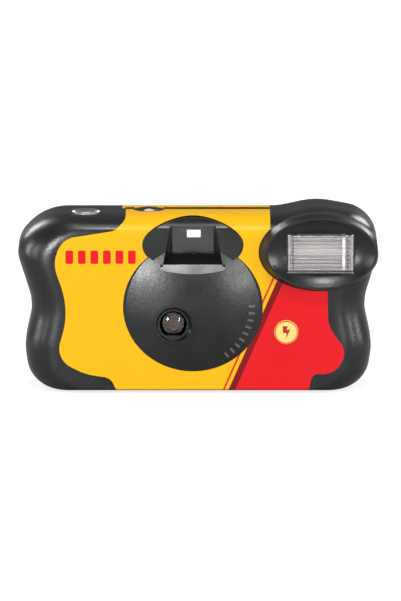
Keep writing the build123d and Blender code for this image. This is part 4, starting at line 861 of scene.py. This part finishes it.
@dataclass
class Wardrobe:
    """Every finish of the camera and the parts that wear it."""

    black: Color = (0.005, 0.006, 0.0063)
    casing_roughness: float = 0.32
    yellow: Color = (0.74, 0.395, 0.0035)
    sticker_roughness: float = 0.36

    def finishes(self) -> dict[Finish, tuple[str, ...]]:
        """Lists the finishes.

        Returns:
            Each finish with the CAD parts that it covers.
        """
        return {
            MarkedCasing("casing_front", self.black, self.casing_roughness): ("front_cover",),
            Casing("casing_black", self.black, self.casing_roughness): ("rear_cover", "cartridge_door"),
            Moulding("wheel_black", (0.012, 0.012, 0.013), 0.38, cells=3600.0): ("thumbwheel",),
            Moulding("frame_black", (0.01, 0.01, 0.011), 0.55, cells=2800.0, depth=0.03): (
                "chassis", "shutter_cover",
            ),
            Moulding("retainer_black", (0.01, 0.01, 0.011), 0.3, cells=3400.0, depth=0.01): (
                "lens_retainer",
            ),
            Moulding("spool_grey", (0.33, 0.34, 0.35), 0.42, cells=3000.0, depth=0.015): (
                "keeper_plate", "cartridge_spool", "supply_spool", "sprocket", "latch_lever",
            ),
            Metal("release_silver", (0.3, 0.29, 0.27), 0.42, along=2600.0, across=2600.0, depth=0.006): (
                "shutter_button",
            ),
            Sticker("print_front", self.yellow, self.sticker_roughness): ("front_label",),
            Sticker("print_rear", self.yellow, self.sticker_roughness, side=Side.REAR, hole_start=-39.2,
                    hole_end=8.8, hole_z=9.0, hole_half=(1.1, 1.5)): ("rear_label",),
            ButtonPrint("button_print", (0.78, 0.55, 0.16), 0.32): ("flash_button",),
            Clear("lens_coated", (0.97, 0.93, 0.95), 0.01, film=330.0, ripple=0.0005): ("taking_lens",),
            Clear("finder_clear", (0.97, 0.97, 0.98), 0.01, ripple=0.0005): (
                "viewfinder_front_lens", "viewfinder_eyepiece",
            ),
            Clear("window_clear", (0.97, 0.965, 0.96), 0.02, ripple=0.001): (
                "flash_window", "counter_window", "light_pipe",
            ),
            Clear("tube_glass", (0.99, 0.98, 0.98), 0.01, index=1.5, ripple=0.001): (
                "flash_tube", "ready_lamp",
            ),
            Metal("reflector_bright", (0.58, 0.545, 0.55), 0.26, along=12.0, across=700.0, depth=0.00004): (
                "flash_reflector",
            ),
            Metal("plated_sheet", (0.72, 0.71, 0.69), 0.28): (
                "flash_tube_caps", "battery_contact_negative", "battery_contact_positive", "sync_contact",
                "striker_lever",
            ),
            Metal("blackened_sheet", (0.07, 0.048, 0.045), 0.32, along=90.0, across=160.0, depth=0.0003): (
                "shutter_blade",
            ),
            Metal("spring_wire", (0.55, 0.55, 0.56), 0.25, along=900.0, across=900.0): (
                "striker_spring", "shutter_spring",
            ),
            Metal("cartridge_sheet", (0.62, 0.63, 0.64), 0.34, along=200.0, across=1200.0): (
                "cartridge_shell",
            ),
            Moulding("cap_lacquer", (0.015, 0.015, 0.016), 0.25, cells=1200.0, depth=0.004, coat=0.5): (
                "cartridge_caps",
            ),
            Moulding("film_base", (0.13, 0.07, 0.045), 0.22, cells=900.0, depth=0.002, coat=0.4): (
                "film_strip", "film_roll",
            ),
            Moulding("cell_jacket", (0.05, 0.05, 0.065), 0.3, cells=1500.0, depth=0.004, coat=0.5): (
                "battery",
            ),
            Moulding("capacitor_sleeve", (0.02, 0.02, 0.05), 0.28, cells=900.0, depth=0.01, coat=0.3): (
                "flash_capacitor",
            ),
            Moulding("ferrite_grey", (0.05, 0.05, 0.052), 0.6, cells=1600.0, depth=0.05): (
                "flash_transformer",
            ),
            Moulding("epoxy_black", (0.02, 0.02, 0.02), 0.5, cells=3000.0): (
                "power_transistor", "small_components",
            ),
            Board("phenolic_board", (0.22, 0.12, 0.05), 0.4): ("circuit_board",),
            Felt("light_trap_plush", (0.012, 0.012, 0.012), 0.9): ("cartridge_felt",),
            DialPrint("dial_print", (0.86, 0.86, 0.84), 0.4): ("counter_dial",),
        }

    def dress(self, nodes: dict[str, bpy.types.Object]) -> None:
        """Gives every CAD part its finish.

        Args:
            nodes: The CAD objects by name.
        """
        bare = set(nodes)
        for finish, names in self.finishes().items():
            material = finish.build()
            for name in names:
                self.wear(nodes[name], material)
                bare.discard(name)
            log.info("finish %s on %s", finish.name, ", ".join(names))
        if bare:
            raise ValueError(f"parts with no finish: {sorted(bare)}")

    def wear(self, part: bpy.types.Object, material: bpy.types.Material) -> None:
        """Puts one material on all the slots of a part.

        Args:
            part: The object.
            material: Its material.
        """
        if not part.material_slots:
            part.data.materials.append(material)
        for place in part.material_slots:
            place.material = material


def placed(mesh: bmesh.types.BMesh, name: str) -> bpy.types.Object:
    """Turns a finished mesh into an object of the scene.

    Args:
        mesh: The mesh, which is freed.
        name: Name of the object.

    Returns:
        The new object.
    """
    data = bpy.data.meshes.new(name)
    mesh.to_mesh(data)
    mesh.free()
    piece = bpy.data.objects.new(name, data)
    bpy.context.scene.collection.objects.link(piece)
    return piece


def flat_piece(name: str, outline: Sequence[tuple[float, float]], front: float, thickness: float,
               bevel: float) -> bpy.types.Object:
    """Makes a thin shape that faces the front, from its outline.

    Args:
        name: Name of the piece.
        outline: Corners as X and Z in millimetres.
        front: Y of its front face in millimetres.
        thickness: Thickness in millimetres.
        bevel: Width of its rounded front rim in millimetres.

    Returns:
        The new object.
    """
    mesh = bmesh.new()
    rear = [mesh.verts.new((x * MM, (front + thickness) * MM, z * MM)) for x, z in outline]
    grown = bmesh.ops.extrude_face_region(mesh, geom=[mesh.faces.new(rear)])
    moved = [item for item in grown["geom"] if isinstance(item, bmesh.types.BMVert)]
    bmesh.ops.translate(mesh, verts=moved, vec=(0.0, -thickness * MM, 0.0))
    bmesh.ops.recalc_face_normals(mesh, faces=mesh.faces)
    rim_rear = (front + thickness * RIM_DEPTH_SHARE) * MM
    rim = [edge for edge in mesh.edges if all(vert.co.y < rim_rear for vert in edge.verts)]
    bmesh.ops.bevel(mesh, geom=rim, offset=bevel * MM, segments=RIM_SEGMENTS, affect="EDGES",
                    profile=RIM_PROFILE)
    return placed(mesh, name)


def framed_plate(name: str, outer: Sequence[tuple[float, float]], inner: Sequence[tuple[float, float]],
                 front: float, thickness: float) -> bpy.types.Object:
    """Makes an upright plate with a rectangular opening.

    Args:
        name: Name of the piece.
        outer: Lowest and highest corner of the plate, as X and Z in millimetres.
        inner: Lowest and highest corner of the opening.
        front: Y of its front face in millimetres.
        thickness: Thickness in millimetres.

    Returns:
        The new object.
    """
    mesh = bmesh.new()
    rings = []
    for depth in (front, front + thickness):
        for (left, bottom), (right, top) in (outer, inner):
            spots = ((left, bottom), (right, bottom), (right, top), (left, top))
            rings.append([mesh.verts.new((x * MM, depth * MM, z * MM)) for x, z in spots])
    front_outer, front_inner, rear_outer, rear_inner = rings
    bands = ((front_outer, front_inner), (front_inner, rear_inner), (rear_inner, rear_outer),
             (rear_outer, front_outer))
    for first, second in bands:
        for here in range(len(first)):
            there = (here + 1) % len(first)
            mesh.faces.new((first[here], first[there], second[there], second[here]))
    bmesh.ops.recalc_face_normals(mesh, faces=mesh.faces)
    return placed(mesh, name)


@dataclass
class ChargeMark:
    """The printed bolt on the charging button. Sizes in mm."""

    body: str = "charge_button"
    centre: tuple[float, float] = (28.2, 20.0)
    thickness: float = 0.06
    sink: float = 0.03
    bevel: float = 0.015
    finish: Finish = Moulding("bolt_ink", (0.33, 0.015, 0.008), 0.35, cells=3000.0, depth=0.003)
    corners: tuple[tuple[float, float], ...] = (
        (-1.15, 2.0), (0.45, 2.0), (0.1, 0.75), (1.25, 0.95), (-0.05, -2.1), (0.1, -0.3), (-1.0, -0.2),
    )

    def build(self) -> bpy.types.Object:
        """Lays the bolt on the button's face.

        Returns:
            The bolt.
        """
        low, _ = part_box("flash_button")
        front = low.y / MM - self.thickness + self.sink
        outline = [(self.centre[0] + x, self.centre[1] + z) for x, z in self.corners]
        piece = flat_piece("charge_bolt", outline, front, self.thickness, self.bevel)
        piece.data.materials.append(self.finish.build())
        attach(piece, self.body)
        log.info("piece %s", piece.name)
        return piece


@dataclass(frozen=True)
class Upright:
    """One upright strip in the mouth of the reflector. Sizes in mm."""

    name: str
    left: float
    width: float
    finish: Finish


@dataclass
class ReflectorEnds:
    """Painted shade at the reflector's folded ends and a painted highlight, as upright strips seen through the
    flash window. Sizes in mm.
    """

    body: str = "case"
    wall: float = 0.6
    setback: float = 0.1
    thickness: float = 0.35
    bevel: float = 0.05
    # Dark strips of painted shade and a bright strip of painted highlight
    dark: Finish = Metal("fold_shadow", (0.03, 0.028, 0.028), 0.4, along=400.0, across=900.0)
    bright: Finish = Metal("fold_highlight", (0.95, 0.94, 0.93), 0.34, along=200.0, across=400.0)

    def uprights(self) -> tuple[Upright, ...]:
        """Lists the strips.

        Returns:
            The strips from left to right.
        """
        return (
            # Painted shade at both folds, and a painted highlight beside the right one
            Upright("reflector_fold_shade_left", 30.1, 0.5, self.dark),
            Upright("reflector_highlight_right", 46.1, 1.0, self.bright),
            Upright("reflector_fold_shade_right", 47.6, 0.5, self.dark),
        )

    def build(self) -> list[bpy.types.Object]:
        """Stands the strips in the reflector's mouth.

        Returns:
            The strips.
        """
        low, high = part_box("flash_reflector")
        front = low.y / MM + self.setback
        bottom, top = low.z / MM + self.wall, high.z / MM - self.wall
        made = []
        for strip in self.uprights():
            right = strip.left + strip.width
            outline = [(strip.left, bottom), (right, bottom), (right, top), (strip.left, top)]
            piece = flat_piece(strip.name, outline, front, self.thickness, self.bevel)
            piece.data.materials.append(strip.finish.build())
            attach(piece, self.body)
            made.append(piece)
            log.info("piece %s", piece.name)
        return made


@dataclass
class FinderMask:
    """Black plate behind the viewfinder's front lens that frames what is seen, painted shade that darkens the
    tube round its opening. Sizes in mm.
    """

    body: str = "case"
    behind_lens: float = 0.95
    thickness: float = 0.5
    side_gap: float = 1.0
    opening_middle: tuple[float, float] = (-1.4, 50.6)
    opening_half: tuple[float, float] = (2.3, 1.3)
    # Near-black plate of painted shade inside the viewfinder's tube
    finish: Finish = Moulding("finder_shade_black", (0.006, 0.006, 0.0065), 0.5, depth=0.002)

    def build(self) -> bpy.types.Object:
        """Sets the mask in the viewfinder's tube.

        Returns:
            The mask.
        """
        low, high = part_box("viewfinder_front_lens")
        front = high.y / MM + self.behind_lens
        outer = [
            (low.x / MM + self.side_gap, low.z / MM + self.side_gap),
            (high.x / MM - self.side_gap, high.z / MM - self.side_gap),
        ]
        (middle_x, middle_z), (half_x, half_z) = self.opening_middle, self.opening_half
        inner = [(middle_x - half_x, middle_z - half_z), (middle_x + half_x, middle_z + half_z)]
        piece = framed_plate("finder_mask", outer, inner, front, self.thickness)
        piece.data.materials.append(self.finish.build())
        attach(piece, self.body)
        log.info("piece %s", piece.name)
        return piece


@dataclass(frozen=True)
class SoftBox:
    """One lamp, hung on a ball of directions about the object. Angles in degrees, sizes in metres."""

    name: str
    azimuth: float
    height_angle: float
    size: tuple[float, float]
    watts: float


@dataclass
class Studio:
    """The pale floor, the white surroundings, the lamps and the view. Sizes in metres, angles in degrees."""

    floor_half: float = 9.0
    floor_cells: int = 24
    floor_finish: Finish = FloorWhite("floor_white", (0.36, 0.36, 0.36), 0.9)
    world_level: float = 0.1
    mirror_share: float = 0.08
    elevation: float = 10.0
    # Point in the middle of the picture, and the height that the picture covers there
    target: tuple[float, float, float] = (0.00074, -0.015, 0.03026)
    view_height: float = 0.1923
    lens_mm: float = 500.0
    sensor_mm: float = 36.0
    far_clip: float = 100.0
    reach: float = 1.25
    lamps: tuple[SoftBox, ...] = (
        SoftBox("soft_box_key", 0.0, 62.0, (0.3, 0.2), 7.0),
        SoftBox("soft_box_top", 0.0, 85.0, (0.4, 0.3), 2.0),
        SoftBox("edge_left", -24.0, 8.0, (0.14, 0.3), 7.6),
        SoftBox("edge_right", 24.0, 8.0, (0.14, 0.3), 4.8),
        SoftBox("soft_box_left", -60.0, 10.0, (0.25, 0.4), 2.5),
        SoftBox("soft_box_right", 60.0, 10.0, (0.25, 0.4), 4.5),
        SoftBox("strip_left", -88.0, 12.0, (0.3, 0.5), 5.0),
        SoftBox("strip_right", 88.0, 12.0, (0.3, 0.5), 4.5),
        SoftBox("rim_left", -140.0, 30.0, (0.3, 0.5), 7.0),
        SoftBox("rim_right", 140.0, 30.0, (0.3, 0.5), 7.0),
    )

    def floor(self) -> bpy.types.Object:
        """Lays the floor under the camera.

        Returns:
            The floor.
        """
        mesh = bmesh.new()
        cells = self.floor_cells
        bmesh.ops.create_grid(mesh, x_segments=cells, y_segments=cells, size=self.floor_half)
        floor = placed(mesh, "studio_floor")
        floor.data.materials.append(self.floor_finish.build())
        log.info("stage %s", floor.name)
        return floor

    def surroundings(self) -> None:
        """Fills the room with even light, and shows white to camera, mirrored and clear rays."""
        world = bpy.data.worlds.new("studio_room")
        world.use_nodes = True
        bpy.context.scene.world = world
        graph = Graph(world.node_tree)
        strength = graph.ramp(graph.seen(self.mirror_share), 0.0, 1.0, self.world_level, 1.0)
        back = graph.node("Background", {"Color": WHITE, "Strength": strength})
        graph.node("OutputWorld", {"Surface": back.outputs[0]})

    def lamp(self, box: SoftBox) -> None:
        """Hangs one soft box that faces the object.

        Args:
            box: Its place, size and power.
        """
        data = bpy.data.lights.new(box.name, "AREA")
        data.shape = "RECTANGLE"
        data.size, data.size_y = box.size
        data.energy = box.watts
        lamp = bpy.data.objects.new(box.name, data)
        turn, rise = math.radians(box.azimuth), math.radians(box.height_angle)
        away = Vector((math.cos(rise) * math.sin(turn), -math.cos(rise) * math.cos(turn), math.sin(rise)))
        lamp.location = Vector(self.target) + away * self.reach
        lamp.rotation_euler = (-away).to_track_quat("-Z", "Y").to_euler()
        bpy.context.scene.collection.objects.link(lamp)

    def view(self) -> None:
        """Sets the view to the photograph's angle and framing."""
        data = bpy.data.cameras.new("photo_view")
        data.sensor_fit = "VERTICAL"
        data.sensor_height = self.sensor_mm
        data.lens = self.lens_mm
        data.clip_end = self.far_clip
        camera = bpy.data.objects.new("photo_view", data)
        away = self.view_height * self.lens_mm / self.sensor_mm
        tilt = math.radians(self.elevation)
        camera.location = Vector(self.target) + Vector((0.0, -math.cos(tilt), math.sin(tilt))) * away
        camera.rotation_euler = (math.pi / 2 - tilt, 0.0, 0.0)
        bpy.context.scene.collection.objects.link(camera)
        bpy.context.scene.camera = camera
        bpy.context.scene.view_settings.view_transform = "Standard"

    def build(self) -> None:
        """Builds the whole studio."""
        self.floor()
        self.surroundings()
        for box in self.lamps:
            self.lamp(box)
        self.view()
        log.info("stage lamps and view")


def corners(low: Vector, high: Vector) -> list[list[float]]:
    """Returns the two corners of a box as plain lists."""
    return [[float(part) for part in low], [float(part) for part in high]]


def main() -> None:
    """Dresses the camera, adds its small pieces and sets up the studio."""
    logging.basicConfig(level=logging.INFO, format="%(message)s", stream=sys.stdout)
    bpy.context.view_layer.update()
    Wardrobe().dress(frame["nodes"])
    ChargeMark().build()
    FinderMask().build()
    ReflectorEnds().build()
    Studio().build()


if __name__ == "__main__":
    main()
